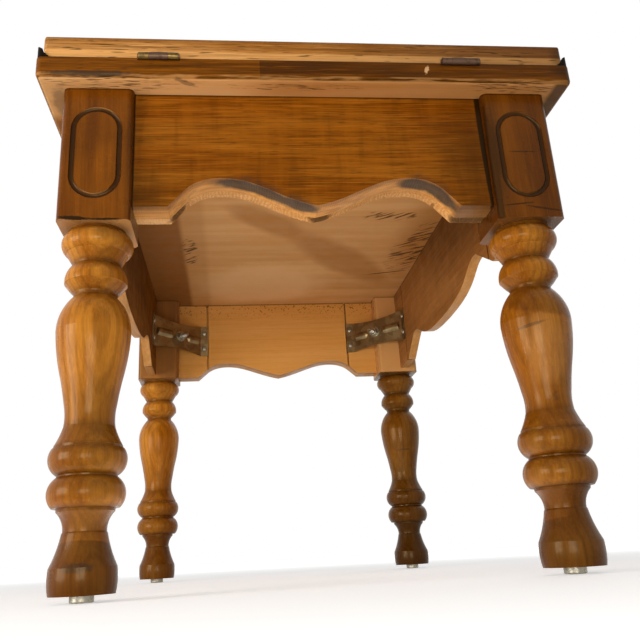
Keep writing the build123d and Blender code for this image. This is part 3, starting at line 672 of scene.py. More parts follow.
def fixed_top_material(colours, low, high):
    """Staved hardwood: raw and planed below, dark stained and varnished on its edges and upper face."""
    finish = Finish("staved_hardwood_top")
    space = finish.grain_space(ALONG_X, 3.0, 0.01)
    stave = finish.staves(0.43, 0.058, 0.37, 0.25)

    # The stained edge, with a golden stave at its left end.
    golden = finish.overlap(finish.past(1, low.y, 8, 0), finish.past(0, 0, -51.9, -52.7))
    middle = finish.lay(colours.top_mid, colours.leg_mid, golden, 0.42)
    colour, height = finish.wood_grain(space, colours.top_deep, middle, colours.leg_mid, pith=(60, -90),
                                       pitch=8.0, wobble=3.0, ring=0.2, streak=0.6, pores=0.5)
    colour = finish.layers(colour, [(colours.top_deep, stave, 0.9, 0.1, 0.3)])

    # The raw lower face frays into the stained edge: a pale band along the lower arris, worn finish and
    # painted highlight, over a broken dark line at the bend.
    ragged = finish.streaks(space, 30, 3.0)
    frayed = finish.add("MapRange", {0: ragged, 1: 0.35, 2: 0.6}, **EASE)
    rim = finish.overlap(finish.past(2, low.z, 4.8, 3.6), frayed)
    colour = finish.lay(colour, colours.raw_mid, rim, 0.3)
    broken = finish.add("MapRange", {0: ragged, 1: 0.6, 2: 0.4}, **EASE)
    bend_line = finish.overlap(finish.past(2, low.z, 2.6, 2.0), broken)
    colour = finish.lay(colour, colours.shade_and_dark_marks, bend_line, 0.45)
    # Painted shade along the top of the near edge, where the leaf lies on it.
    arris_shade = finish.overlap(finish.past(2, high.z, -1.9, -0.5), finish.past(1, low.y, 5, 4))
    colour = finish.lay(colour, colours.shade_and_dark_marks, arris_shade, 0.8)
    colour = finish.mark(colour, colours, (
        ("soot", 0.8, [dict(centre=(-214, -361, 467), radii=(58, 9, 3.4), ragged=0.35, grit=7)]),
        # Painted shade at the right end of the near edge.
        ("shade_and_dark_marks", 0.55, [
            dict(centre=(262, -358, 476), radii=(26, 20, 17), ragged=0.3, grit=12, core=0.2)]),
        ("raw_light", 0.7, [
            dict(centre=(114, -361, 477), radii=(2.6, 5, 6.5), turn=(0, 0.35, 0), ragged=0.5, grit=2)])))

    # The lower face: raw, with broad bands of painted shadow, painted shadow along its left margin and
    # painted shade along its right, darker along the right part of its front margin, a pale patch, and
    # spots.
    below = finish.past(2, low.z, 0.9, 0.1)
    raw = finish.wood_grain(space, colours.raw_deep, colours.raw_mid, colours.raw_light, pith=(60, -90),
                            pitch=14.0, wobble=2.0, ring=0.08, streak=0.05, pores=0.04)[0]
    raw = finish.layers(raw, [(colours.raw_deep, stave, 0.8, 0.2, 0.18)])
    colour = finish.lay(colour, raw, below)
    margin = finish.overlap(finish.past(1, low.y, 34, 26), finish.past(0, 0, -90, -20))
    pale = finish.patch((-30, 205, UNDERSIDE), (140, 110, 5), ragged=0.3, grit=60, core=0.5)
    bands = finish.patches([
        dict(centre=(-30, -40, UNDERSIDE), radii=(95, 34, 5), turn=(0, 0, 0.80), **SHADOW_BAND),
        dict(centre=(90, 95, UNDERSIDE), radii=(170, 46, 5), turn=(0, 0, 0.88), **SHADOW_BAND),
        dict(centre=(205, 20, UNDERSIDE), radii=(60, 210, 5), ragged=0.3, grit=90, core=0.2)])
    recess = finish.past(1, low.y, 60, 80)
    # Laid on the lower face in turn: a darker front margin, a pale patch, the bands of painted shadow, the
    # painted shadow of the left side apron in two steps, and painted shade along the right margin.
    for tint, amount, where in (
            (colours.leg_mid, 0.45, margin),
            (colours.raw_light, 0.85, pale),
            (colours.raw_deep, 0.6, bands),
            (colours.raw_deep, 0.3, finish.overlap(finish.past(0, 0, -112, -124), recess)),
            (colours.apron_mid, 0.72, finish.overlap(finish.past(0, 0, -146, -156), recess)),
            (colours.top_deep, 0.85, finish.past(0, 0, 243, 250))):
        colour = finish.lay(colour, tint, finish.overlap(where, below), amount)

    colour = finish.mark(colour, colours, [("soot", 0.5, [
        dict(centre=(-124, -352, UNDERSIDE), radii=(15, 4, 4), turn=(0, 0, 0.5), ragged=0.5, grit=5),
        dict(centre=(176, 77, UNDERSIDE), radii=(13, 9, 4), grit=8),
        dict(centre=(186, 21, UNDERSIDE), radii=(9, 11, 4), grit=8),
        dict(centre=(-245, -315, UNDERSIDE), radii=(14, 30, 5), grit=10)])])

    # Torn-out grain: slanted marks inside the recess, and short dashes on the overhang.
    slanted = finish.add("Mapping", {"Vector": space, "Rotation": (0, 0, 0.62)})
    slants = finish.add("MapRange", {0: finish.streaks(slanted, 30, 4.6, 2.0), 1: 0.51, 2: 0.58}, **EASE)
    inside = finish.patches([
        dict(centre=(140, -58, UNDERSIDE), radii=(48, 17, 5), ragged=0.5, grit=20),
        dict(centre=(194, 60, UNDERSIDE), radii=(34, 110, 5), turn=(0, 0, 0.1), ragged=0.4, grit=20),
        dict(centre=(-142, 60, UNDERSIDE), radii=(14, 60, 5), ragged=0.7, grit=12)])
    dashes = finish.add("MapRange", {0: finish.streaks(space, 16, 1.5, 1.0), 1: 0.55, 2: 0.64}, **EASE)
    overhang = finish.patches([
        dict(centre=(-190, -350, UNDERSIDE), radii=(85, 14, 5), ragged=0.5, grit=20),
        dict(centre=(-20, -347, UNDERSIDE), radii=(70, 8, 5), ragged=0.7, grit=20),
        dict(centre=(205, -350, UNDERSIDE), radii=(55, 12, 5), ragged=0.5, grit=20)])
    torn = finish.most(finish.overlap(inside, slants), finish.overlap(overhang, dashes))
    colour = finish.lay(colour, colours.top_deep, torn, 0.85)
    crack = finish.patch((173, 154, UNDERSIDE), (41, 2.0, 3), turn=(0, 0, -0.26), ragged=0.25, grit=4)
    colour = finish.lay(colour, colours.shade_and_dark_marks, crack, 0.9)
    bump = finish.add("Math", {0: torn, 1: -2.5, 2: height}, operation="MULTIPLY_ADD")
    return finish.close(colour, bump, rough=(0.42, 0.58), depth=0.12, **VARNISH)


# Height of the middle of a hinge pocket's mouth in the leaf's end, in millimetres.
POCKET_LEVEL = 487.6


def leaf_material(colours, low, high):
    """Flat-sawn hardwood leaf, amber stained and satin varnished: long streaks, small dark knots."""
    finish = Finish("amber_hardwood_leaf")
    space = finish.grain_space(ALONG_X, 9.0, 0.008)
    colour, height = finish.wood_grain(space, colours.leaf_deep, colours.leaf_mid, colours.leaf_light,
                                       pith=(10, -60), pitch=7.0, wobble=3.0, ring=0.22, streak=0.55,
                                       pores=0.35)
    stave = finish.staves(0.61, 0.071, 0.43, 0.2)
    colour = finish.layers(colour, [(colours.leaf_deep, stave, 0.9, 0.1, 0.35)])
    # Painted shade: the leaf darkens towards its right end, as the light falls from the left.
    colour = finish.lay(colour, colours.leaf_deep, finish.past(0, 0, -100, 300), 0.85)
    chamfer = finish.overlap(finish.past(2, low.z, 7.4, 6.6), finish.past(1, low.y, 6, 2))
    colour = finish.lay(colour, colours.leaf_light, chamfer, 0.35)
    colour = finish.layers(colour, [(colours.shade_and_dark_marks, finish.streaks(space, 24, 2.0, 1.0), 0.64, 0.70, 0.7)])
    near_edge = finish.past(1, low.y, 3, 2)
    upper = finish.overlap(finish.past(2, high.z, -8, -3), near_edge)
    colour = finish.lay(colour, colours.leaf_deep, upper, 0.3)
    # Painted shade along the near edge's upper and lower arrises.
    arris_shade = finish.most(finish.past(2, low.z, 1.3, 0.4), finish.past(2, high.z, -1.6, -0.6))
    colour = finish.lay(colour, colours.shade_and_dark_marks, finish.overlap(arris_shade, near_edge), 0.6)

    # The mouths of the two hinge pockets are dark: painted shade in the recesses.
    pocket_shades = []
    for side in SIDES:
        plate_low, plate_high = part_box(f"hinge_fixed_plate_{side}")
        mouth = ((plate_low.x + plate_high.x) / 2 / MM, -360, POCKET_LEVEL)
        pocket_shades.append(dict(centre=mouth, radii=(20.5, 6, 5.5), ragged=0.05, grit=6, core=0.85))
    colour = finish.lay(colour, colours.shade_and_dark_marks, finish.patches(pocket_shades), 0.9)
    # Painted shade at the leaf's right end.
    corner = finish.patch((256, -359, 496), (16, 16, 18), ragged=0.3, grit=12, core=0.2)
    colour = finish.lay(colour, colours.shade_and_dark_marks, corner, 0.5)
    return finish.close(colour, height, rough=(0.34, 0.48), depth=0.1, **VARNISH)


def apron_material(name, colours, turn, seed, box, raw_faces=(), inner_amount=0.0, gold=0.0, painted_highlight=(),
                   painted_shades=(), marks=(), edge_stain=0.25, saw_dark=0.15, tone=1.0, specks=0.0):
    """Hardwood apron: stained face, sawn scalloped edge left raw, and a thinly stained inner face."""
    low, high = box
    finish = Finish(name)
    space = finish.grain_space(turn, seed, 0.012)
    middle = colours.apron_mid
    # Painted highlight: a golden glow laid in before the grain.
    if painted_highlight:
        middle = finish.lay(middle, colours.leg_mid, finish.patches(painted_highlight), 0.55)
    warm = blend(colours.leg_mid, colours.leg_light, 0.22)
    grain = dict(pith=(25, -70), pitch=9.0, wobble=3.0, ring=0.12)
    colour, height = finish.wood_grain(space, colours.apron_deep, middle, warm, streak=0.5, pores=0.45,
                                       **grain)
    bare = [blend(tint, colours.leg_light, gold)
            for tint in (colours.raw_deep, colours.raw_mid, colours.raw_light)]
    raw = finish.wood_grain(space, *bare, streak=0.2, pores=0.2, **grain)[0]

    # Painted sheen: the stained grain shimmers across the board in soft bars, paler and darker.
    sheen_bars = finish.streaks(space, 13, 90)
    colour = finish.layers(colour, ((colours.leg_mid, sheen_bars, 0.50, 0.70, 0.18),
                                    (colours.apron_deep, sheen_bars, 0.46, 0.30, 0.18)))
    for index, way in raw_faces:
        colour = finish.lay(colour, raw, finish.facing(index, way), inner_amount)
    colour = finish.add("HueSaturation", {"Color": colour, "Value": tone})

    # The sawn edge: raw, blotched with stain, and stained right through near the front.
    edge = finish.lay(raw, colours.leg_light, finish.streaks(space, 40, 8.0), edge_stain * 1.4)
    blotches = finish.streaks(space, 60, 5.0)
    edge = finish.layers(edge, [(colours.leg_mid, blotches, 0.35, 0.65, edge_stain * 0.8)])
    edge = finish.lay(edge, colours.apron_mid, finish.past(1, low.y, 13, 2), 0.55)
    colour = finish.lay(colour, edge, finish.lower_edge(), 0.9)
    if specks:
        dots = finish.add("TexNoise", {"Vector": finish.place, "Scale": 1 / (3.0 * MM), "Detail": 1.0})
        dots = finish.add("MapRange", {0: dots, 1: 0.62, 2: 0.68}, **EASE)
        dots = finish.overlap(dots, finish.past(2, high.z, -34, -8))
        colour = finish.lay(colour, colours.top_deep, dots, specks)
    # Patches of painted shade.
    colour = finish.mark(colour, colours, painted_shades)
    teeth = finish.saw_marks(space, 2.4, 2.0, 1.0)
    colour = finish.lay(colour, colours.apron_mid, teeth, saw_dark)
    colour = finish.mark(colour, colours, marks)
    # Painted shade along the apron's top, under the top.
    colour = finish.lay(colour, colours.shade_and_dark_marks, finish.past(2, high.z, -2.6, -0.8), 0.7)
    bump = finish.add("Math", {0: teeth, 1: 2.0, 2: height}, operation="MULTIPLY_ADD")
    return finish.close(colour, bump, rough=(0.36, 0.52), depth=0.12, **VARNISH)


def raw_material(name, turn, colours, seed, marks=()):
    """Unfinished sawn hardwood, dry and matt, with saw marks across its edges, and any marks given to it,
    such as painted shade and painted highlight.
    """
    finish = Finish(name)
    space = finish.grain_space(turn, seed, 0.01)
    colour, height = finish.wood_grain(space, colours.raw_deep, colours.raw_mid, colours.raw_light,
                                       pith=(15, -50), pitch=8.0, wobble=3.0, ring=0.15, streak=0.3,
                                       pores=0.2)
    sawn = finish.saw_marks(space, 3.4, 9.0, 2.0)
    colour = finish.lay(colour, colours.raw_deep, sawn, 0.35)
    colour = finish.mark(colour, colours, marks)
    bump = finish.add("Math", {0: sawn, 1: 3.0, 2: height}, operation="MULTIPLY_ADD")
    return finish.close(colour, bump, rough=(0.62, 0.8), depth=0.16, **DRY)


def lip_material(colours):
    """Hardwood moulding under a near-black stain and painted shade, with the grain just showing where it is
    rubbed.
    """
    finish = Finish("black_stain_and_shade_lip")
    space = finish.grain_space(ALONG_Y, 5.0)
    rubbed = finish.add("MapRange", {0: finish.streaks(space, 60, 2.2, 3.0), 1: 0.55, 2: 0.8}, **EASE)
    colour = finish.lay(colours.lip_stain_and_shade, colours.top_deep, rubbed, 0.3)
    return finish.close(colour, rubbed, rough=(0.45, 0.6), depth=0.08, **DRY)


def metal_material(name, bright, dark, rough, grit, coverage):
    """Plated or aged metal: cloudy tarnish, fine scratches, and pits that catch the light.

    grit is the size of the clouds in millimetres, and coverage is how much of it is tarnished.
    """
    finish = Finish(name)
    cloud = finish.add("TexNoise", {"Vector": finish.place, "Scale": 1 / (grit * MM), "Detail": 5.0,
                                    "Roughness": 0.62})
    # The scratches are about 17 mm long and 0.5 mm wide. Real ones are finer and wouldn't show.
    scratch = finish.add("Mapping", {"Vector": finish.place, "Rotation": (0.6, 0.5, 0.785),
                                     "Scale": (60, 2200, 2200)})
    scratch = finish.add("TexNoise", {"Vector": scratch, "Scale": 1.0, "Detail": 2.0})
    start = 0.62 - coverage * 0.3
    colour = finish.layers(bright, ((dark, cloud, start, start + 0.1, 0.6), (dark, scratch, 0.6, 0.7, 0.3)))
    height = finish.add("Math", {0: cloud, 1: 0.6, 2: scratch}, operation="MULTIPLY_ADD")
    return finish.close(colour, height, rough, depth=0.05, Metallic=0.9)


# Operators


def settings():
    """The three groups of settings of the scene."""
    scene = bpy.context.scene
    return scene.tray_table_sizes, scene.tray_table_finishes, scene.tray_table_studio


def add_lamp(name, power, where, size, tint, target):
    """Square soft lamp of a size in metres that shines towards its target and is hidden from the camera."""
    light = bpy.data.lights.new(name, "AREA")
    light.energy = power
    light.size = size
    light.color = tint
    lamp = add_object(name, light)
    lamp.location = where
    lamp.visible_camera = False
    lamp.rotation_euler = (Vector(target) - Vector(where)).to_track_quat("-Z", "Y").to_euler()


class TRAYTABLE_OT_stage(bpy.types.Operator):
    """Set the pale floor, the soft lamps, the white surroundings and the camera"""
    bl_idname = "tray_table.stage"
    bl_label = "Stage"

    def execute(self, context):
        studio = settings()[2]
        finish = Finish("matt_studio_floor")
        grain = finish.add("TexNoise", {"Vector": finish.place, "Scale": 1 / (25 * MM), "Detail": 2.0})
        tone = finish.lay(studio.floor, studio.floor_dark, grain, 0.15)
        reach = finish.add("VectorMath", {0: finish.place}, out="Value", operation="LENGTH")
        away = finish.add("MapRange", {0: reach, 1: 0.5, 2: 2.5, 3: 0.48, 4: 1.0}, **EASE)
        lift = finish.overlap(finish.white_rays(), away)
        shader = finish.add("BsdfPrincipled", {"Base Color": tone, "Roughness": 0.8,
                                               "Specular IOR Level": 0.1, "Emission Color": (1, 1, 1, 1),
                                               "Emission Strength": lift})
        finish.add("OutputMaterial", {"Surface": shader})
        mesh = bpy.data.meshes.new("studio_floor")
        half = 9.0
        corners = [(-half, -half, 0), (half, -half, 0), (half, half, 0), (-half, half, 0)]
        mesh.from_pydata(corners, [], [(0, 1, 2, 3)])
        mesh.materials.append(finish.material)
        floor = add_object("studio_floor", mesh)
        floor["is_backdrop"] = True

        low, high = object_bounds()
        middle = (0, 0, (low[2] + high[2]) / 2)
        warm, neutral, cool = (1.0, 0.96, 0.90), (1.0, 0.97, 0.92), (0.97, 0.98, 1.0)
        add_lamp("key_lamp", studio.key_power, (-1.35, -0.85, 0.30), 0.75, neutral, middle)
        add_lamp("low_lamp", studio.low_power, (-0.15, -1.25, 0.06), 0.5, warm, middle)
        add_lamp("floor_panel", studio.panel_power, (-0.05, -0.12, 0.012), 0.5, warm, (-0.05, -0.02, 0.6))
        add_lamp("back_lamp", studio.back_power, (1.3, 1.3, 1.7), 1.4, cool, middle)

        world = bpy.data.worlds.new("white_surroundings")
        world.use_nodes = True
        nodes = Nodes(world.node_tree)
        even = nodes.add("Background", {"Color": (1.0, 0.985, 0.96, 1), "Strength": studio.sky})
        white = nodes.add("Background", {"Color": (1, 1, 1, 1), "Strength": 1.0})
        mix = nodes.add("MixShader", {0: nodes.white_rays(), 1: even, 2: white})
        nodes.add("OutputWorld", {"Surface": mix})
        context.scene.world = world
        context.scene.view_settings.view_transform = "Standard"

        pan, tilt, roll = studio.camera_turn
        forward = Vector((math.sin(pan) * math.cos(tilt), math.cos(pan) * math.cos(tilt), math.sin(tilt)))
        level = Vector((math.cos(pan), -math.sin(pan), 0))
        up = level.cross(forward)
        right = math.cos(roll) * level + math.sin(roll) * up
        top = math.cos(roll) * up - math.sin(roll) * level
        camera = bpy.data.cameras.new("camera")
        camera.sensor_width = 36
        camera.lens = studio.lens
        camera.shift_x, camera.shift_y = studio.camera_shift
        camera.clip_start = 0.01
        viewer = add_object("camera", camera)
        viewer.matrix_world = (Matrix.Translation(Vector(studio.camera_place))
                               @ Matrix((right, top, -forward)).transposed().to_4x4())
        context.scene.camera = viewer
        return {"FINISHED"}


class TRAYTABLE_OT_legs(bpy.types.Operator):
    """Finish the four turned legs"""
    bl_idname = "tray_table.legs"
    bl_label = "Legs"

    def execute(self, context):
        colours = settings()[1]
        legs = {
            "near_left": dict(seed=2.0, tone=0.96, inner=0.5, under_raw=0.6, pith=(26, -40), marks=[
                ("soot", 0.55, [dict(centre=(-207.5, -338, 27), radii=(24, 12, 5), grit=6)]),
                # Painted shade along the post's right edge, beside the apron.
                ("post_deep", 0.5, [
                    dict(centre=(-176, -341, 395), radii=(14, 6, 90), ragged=0.1, core=0.1)]),
                ("shade_and_dark_marks", 0.95, [
                    dict(centre=(-224, -341, 325), radii=(19, 3.5, 2.6), turn=(0, 0.08, 0), ragged=0.5,
                         grit=4),
                    dict(centre=(-196, -341, 324), radii=(20, 3.5, 1.3), ragged=0.5, grit=3)])]),
            "near_right": dict(seed=6.5, tone=0.84, inner=0.6, under_raw=0.12, pith=(-46, -36), marks=[
                ("leaf_light", 0.14, [
                    dict(centre=(203, -335, 195), radii=(24, 20, 42), ragged=0.2, grit=20)]),
                # Painted shadow across the vase, cast from above.
                ("post_deep", 0.4, [
                    dict(centre=(214, -330, 241), radii=(44, 40, 18), turn=(0, 0.12, 0), ragged=0.15,
                         grit=6, core=0.8)]),
                ("soot", 0.5, [
                    dict(centre=(205, -334, 151), radii=(9, 8, 8), ragged=0.6, grit=3),
                    dict(centre=(190, -334, 217), radii=(22, 12, 2.0), turn=(0, -0.2, 0), ragged=0.5,
                         grit=4)]),
                # Painted shade down the post's left side, by the apron's end; below it, splits.
                ("shade_and_dark_marks", 0.75, [
                    dict(centre=(177, -341, 395), radii=(16, 6, 100), ragged=0.1, core=0.1),
                    dict(centre=(175.5, -341, 380), radii=(5.5, 7, 100), turn=(0, -0.02, 0), ragged=0.1,
                         grit=6, core=0.7),
                    dict(centre=(222, -341, 333), radii=(26, 3.5, 1.4), turn=(0, 0.16, 0), ragged=0.7,
                         grit=4),
                    dict(centre=(195, -341, 338), radii=(20, 3.5, 1.0), turn=(0, -0.1, 0), ragged=0.7,
                         grit=4),
                    dict(centre=(208, -341, 396), radii=(19, 3.0, 0.8), ragged=0.4, grit=4)])]),
            "far_left": dict(seed=11.0, tone=1.22, inner=0.25, under_raw=0.4, pith=(10, -50)),
            "far_right": dict(seed=15.5, tone=0.50, inner=0.9, under_raw=0.3, pith=(-30, -44), marks=[
                ("soot", 0.5, [dict(centre=(205, 285, 190), radii=(14, 14, 2.5), ragged=0.5, grit=5)])]),
        }
        for corner, look in legs.items():
            dress(f"leg_{corner}", leg_material(corner, colours, **look))
        return {"FINISHED"}


class TRAYTABLE_OT_boards(bpy.types.Operator):
    """Finish the fixed top, the folding leaf and the dowels"""
    bl_idname = "tray_table.boards"
    bl_label = "Top boards"

    def execute(self, context):
        colours = settings()[1]
        dress("fixed_top", fixed_top_material(colours, *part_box("fixed_top")))
        dress("flip_leaf", leaf_material(colours, *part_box("flip_leaf")))
        dress("top_dowels", raw_material("beech_dowel", ALONG_Z, colours, 21.0))
        lip = lip_material(colours)
        for side in SIDES:
            dress(f"tray_lip_{side}", lip)
        return {"FINISHED"}


class TRAYTABLE_OT_aprons(bpy.types.Operator):
    """Finish the scalloped aprons and the board behind the near one"""
    bl_idname = "tray_table.aprons"
    bl_label = "Aprons"

    def execute(self, context):
        colours = settings()[1]
        scuff = dict(ragged=0.15, grit=9)
        scuffs = [
            dict(centre=(-72, -322, 367), radii=(36, 13, 12), turn=(0, 0.05, 0), **scuff),
            dict(centre=(-48, -322, 359), radii=(36, 13, 12), turn=(0, 0.38, 0), **scuff),
            dict(centre=(-18, -322, 346), radii=(30, 13, 11), turn=(0, 0.42, 0), **scuff),
            dict(centre=(102, -320, 371), radii=(26, 14, 12), turn=(0, 0.1, 0), **scuff),
            dict(centre=(124, -320, 360), radii=(32, 14, 13), turn=(0, 0.75, 0), **scuff)]
        # Painted shade in the gaps between the near apron's ends and the posts.
        gap_shades = [
            dict(centre=(174.5, -331, 395), radii=(6.0, 12, 130), turn=(0, -0.022, 0), ragged=0.05, grit=9,
                 core=0.75),
            dict(centre=(-174.5, -331, 400), radii=(1.8, 12, 130), ragged=0.05, grit=9, core=0.6)]
        # Painted highlight in the near apron's middle.
        painted_highlight = [dict(centre=(20, -331, 415), radii=(150, 20, 70), ragged=0.5, grit=60, core=0.0)]
        # Painted shade on the near apron: near both posts, low at the left, and under the right shoulder.
        dark = [
            dict(centre=(172, -331, 400), radii=(75, 20, 110), ragged=0.3, grit=50, core=0.0),
            dict(centre=(-172, -331, 345), radii=(60, 20, 60), ragged=0.3, grit=50, core=0.0),
            dict(centre=(158, -318, 339), radii=(36, 26, 12), ragged=0.2, grit=20)]
        # Painted shade on the side aprons' inner faces.
        side_shade_left = [dict(centre=(-212, -60, 420), radii=(24, 330, 110), ragged=0.2, grit=60, core=0.3)]
        side_shade_right = [dict(centre=(212, -120, 440), radii=(24, 260, 90), ragged=0.2, grit=60, core=0.1)]
        boards = {
            "near_apron": dict(turn=ALONG_X, seed=4.0, painted_highlight=painted_highlight, painted_shades=[("apron_deep", 0.62, dark)],
                               marks=[("soot", 0.9, scuffs), ("shade_and_dark_marks", 0.95, gap_shades)], edge_stain=0.55,
                               saw_dark=0.04),
            "far_apron": dict(turn=ALONG_X, seed=12.0, raw_faces=((1, -1),), inner_amount=0.9, gold=0.5,
                              specks=0.6),
            "side_apron_left": dict(turn=ALONG_Y, seed=14.0, painted_shades=[("apron_deep", 0.62, side_shade_left)],
                                    tone=0.8),
            "side_apron_right": dict(turn=ALONG_Y, seed=17.0, raw_faces=((0, -1),), inner_amount=0.25,
                                     painted_shades=[("apron_deep", 0.62, side_shade_right)]),
        }
        for name, look in boards.items():
            dress(name, apron_material(f"stained_{name}", colours, box=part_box(name), **look))
        # On the backing: painted shade at the left end and under the right shoulder, a dark patch in the
        # middle, and a painted highlight on the left shoulder.
        backing_marks = [
            ("top_deep", 0.8, [
                dict(centre=(-133, -297, 350), radii=(18, 12, 14), grit=7),
                dict(centre=(8, -297, 343), radii=(18, 12, 8), grit=6),
                dict(centre=(158, -297, 338), radii=(40, 14, 12), ragged=0.2, grit=9)]),
            ("raw_light", 0.7, [dict(centre=(-158, -297, 339), radii=(26, 16, 10), ragged=0.4, grit=8)])]
        backing = raw_material("sawn_backing", ALONG_X, colours, 8.0, backing_marks)
        dress("near_apron_backing", backing)
        return {"FINISHED"}


class TRAYTABLE_OT_metalwork(bpy.types.Operator):
    """Finish the hinges, brackets and glides"""
    bl_idname = "tray_table.metalwork"
    bl_label = "Metalwork"

    def execute(self, context):
        colours = settings()[1]
        brass = metal_material("aged_brass", colours.brass, colours.brass_dark,
                               rough=(0.32, 0.5), grit=5.0, coverage=0.5)
        plate = metal_material("bronze_plated_steel", colours.bracket, colours.bracket_dark,
                               rough=(0.28, 0.46), grit=16.0, coverage=0.55)
        steel = metal_material("worn_steel", colours.steel, colours.steel_dark,
                               rough=(0.3, 0.5), grit=4.0, coverage=0.5)
        brown = metal_material("tarnished_brass", colours.knuckle, colours.brass_dark,
                               rough=(0.4, 0.55), grit=6.0, coverage=0.35)
        for side in SIDES:
            dress(f"hinge_fixed_plate_{side}", brass if side == "left" else brown)
            dress(f"hinge_moving_plate_{side}", brown)
            dress(f"hinge_pin_{side}", brown)
        for corner in CORNERS:
            dress(f"corner_bracket_{corner}", plate)
            dress(f"glide_{corner}", steel)
        return {"FINISHED"}


# Turn in radians from one screw's slots to the next one's, so that they don't line up.
BRACKET_SCREW_TURN, HINGE_SCREW_TURN = 1.9, 1.3

# A washer's hole over its bolt.
WASHER_PLAY = 1.06


class TRAYTABLE_OT_fasteners(bpy.types.Operator):
    """Make the threaded hanger bolts, the chamfered nuts with washers and the bracket screws"""
    bl_idname = "tray_table.fasteners"
    bl_label = "Bolts, nuts and screws"

    def execute(self, context):
        sizes, colours = settings()[:2]
        steel = metal_material("zinc_plated_steel", colours.steel, colours.steel_dark,
                               rough=(0.22, 0.42), grit=3.0, coverage=0.35)
        screw = pan_head_screw(sizes.bracket_screw_head, sizes.bracket_screw_rise,
                               sizes.bracket_screw_shank, sizes.bracket_screw_length,
                               sizes.bracket_screw_slot)
        screws = []
        # The bolts lie on the legs' diagonals, each going as far along x as along y.
        diagonal = math.sqrt(0.5)
        for corner, (side, end) in CORNERS.items():
            axis = (-side * diagonal, -end * diagonal, 0)
            turn = upright(axis, (0, 0, 1))
            low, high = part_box(f"hanger_bolt_{corner}")
            radius = (high.z - low.z) / 2
            length = (high.x - low.x) / diagonal - 2 * radius
            start = (low + high) / 2 - Vector(axis) * length / 2
            bolt = threaded_bolt(radius, length, sizes.bolt_point, sizes.bolt_pitch,
                                 sizes.bolt_thread_depth)
            piece(f"threaded_bolt_{corner}", [(*bolt, turn, start)], steel, "frame", "fastener_steel",
                  f"hanger_bolt_{corner}")

            low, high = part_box(f"bolt_nut_{corner}")
            outer_x = low.x if side < 0 else high.x
            outer_y = low.y if end < 0 else high.y
            seat = Vector((outer_x, outer_y, (low.z + high.z) / 2)) + Vector(axis) * sizes.washer_radius
            washer = washer_ring(sizes.washer_radius, radius * WASHER_PLAY, sizes.washer_thickness)
            nut = hexagon_nut(sizes.nut_across_flats, sizes.nut_height, radius)
            on_washer = seat + Vector(axis) * sizes.washer_thickness
            stack = [(*washer, turn, seat), (*nut, turn, on_washer)]
            piece(f"nut_and_washer_{corner}", stack, steel, "frame", "fastener_steel", f"bolt_nut_{corner}")

            low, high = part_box(f"corner_bracket_{corner}")
            corner_x = low.x + sizes.hook_depth if side < 0 else high.x - sizes.hook_depth
            corner_y = low.y + sizes.hook_depth if end < 0 else high.y - sizes.hook_depth
            reach = high.x - low.x - sizes.hook_depth - sizes.bracket_flange / 2
            sheet = sizes.bracket_thickness
            for rise in (-0.5, 0.5):
                z = (low.z + high.z) / 2 + rise * sizes.bracket_screw_spacing
                seats = (((0, -end, 0), (corner_x - side * reach, corner_y - end * sheet, z)),
                         ((-side, 0, 0), (corner_x - side * sheet, corner_y - end * reach, z)))
                for out, where in seats:
                    angle = BRACKET_SCREW_TURN * len(screws)
                    spin = np.array([0.0, math.sin(angle), math.cos(angle)])
                    across = spin if out[0] else spin[[1, 0, 2]]
                    screws.append((*screw, upright(out, across), where))
        piece("round_head_screws", screws, steel, "frame", "fastener_steel", "bracket_screws")
        return {"FINISHED"}


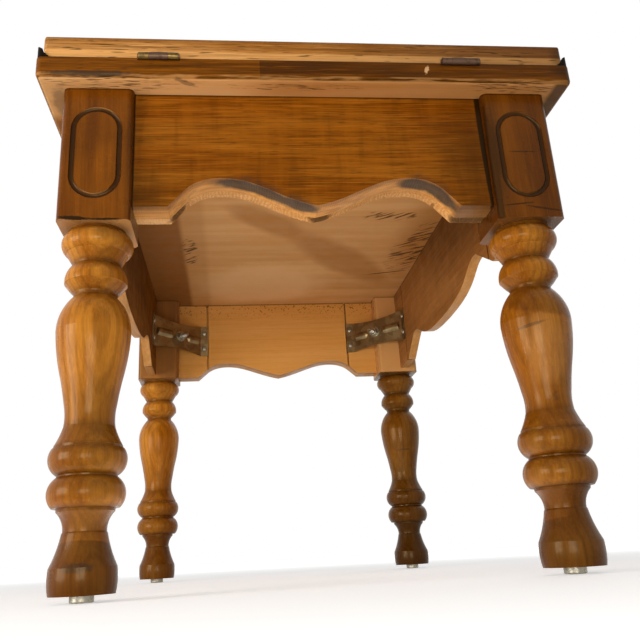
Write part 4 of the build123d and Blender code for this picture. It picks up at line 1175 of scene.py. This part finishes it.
class TRAYTABLE_OT_hinge_screws(bpy.types.Operator):
    """Make the countersunk screws of both hinges"""
    bl_idname = "tray_table.hinge_screws"
    bl_label = "Hinge screws"

    def execute(self, context):
        sizes, colours = settings()[:2]
        brass = metal_material("brass_screw", colours.brass, colours.brass_dark,
                               rough=(0.25, 0.42), grit=3.0, coverage=0.3)
        screw = countersunk_screw(sizes.hinge_screw_head, sizes.hinge_screw_depth, sizes.hinge_screw_shank,
                                  sizes.hinge_screw_length, sizes.hinge_screw_slot)
        level = frame["joints"][0]["pos_m"][2]
        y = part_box("fixed_top")[0].y + sizes.hinge_screw_setback
        for name, way, body, node in (("fixed_plate_screws", -1, "frame", "hinge_screws_fixed"),
                                      ("moving_plate_screws", 1, "leaf", "hinge_screws_leaf")):
            screws = []
            for side in SIDES:
                low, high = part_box(f"hinge_fixed_plate_{side}")
                for shift in (-0.5, 0.5):
                    x = (low.x + high.x) / 2 + shift * sizes.hinge_screw_spacing
                    spin = HINGE_SCREW_TURN * len(screws) + way
                    turn = upright((0, 0, -way), (math.cos(spin), math.sin(spin), 0))
                    screws.append((*screw, turn, (x, y, level + way * sizes.leaf_gap / 2)))
            piece(name, screws, brass, body, "hinge_brass", node)
        return {"FINISHED"}


OPERATORS = (TRAYTABLE_OT_stage, TRAYTABLE_OT_boards, TRAYTABLE_OT_legs, TRAYTABLE_OT_aprons,
             TRAYTABLE_OT_metalwork, TRAYTABLE_OT_fasteners, TRAYTABLE_OT_hinge_screws)


class TRAYTABLE_PT_panel(bpy.types.Panel):
    """Steps of the table, and its settings"""
    bl_idname = "TRAYTABLE_PT_panel"
    bl_label = "Tray Table"
    bl_space_type = "VIEW_3D"
    bl_region_type = "UI"
    bl_category = "Tray Table"

    def draw(self, context):
        for operator in OPERATORS:
            self.layout.operator(operator.bl_idname)
        for group in settings():
            box = self.layout.box()
            for name in group.bl_rna.properties.keys():
                if name not in ("rna_type", "name"):
                    box.prop(group, name)


CLASSES = (TableSizes, TableFinishes, TableStudio, *OPERATORS, TRAYTABLE_PT_panel)


def register():
    for cls in CLASSES:
        bpy.utils.register_class(cls)
    bpy.types.Scene.tray_table_sizes = bpy.props.PointerProperty(type=TableSizes)
    bpy.types.Scene.tray_table_finishes = bpy.props.PointerProperty(type=TableFinishes)
    bpy.types.Scene.tray_table_studio = bpy.props.PointerProperty(type=TableStudio)


def unregister():
    del bpy.types.Scene.tray_table_studio
    del bpy.types.Scene.tray_table_finishes
    del bpy.types.Scene.tray_table_sizes
    for cls in reversed(CLASSES):
        bpy.utils.unregister_class(cls)


def main():
    """Register the add-on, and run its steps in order."""
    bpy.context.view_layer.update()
    register()
    for operator in OPERATORS:
        group, name = operator.bl_idname.split(".")
        getattr(getattr(bpy.ops, group), name)()


if __name__ == "__main__":
    main()
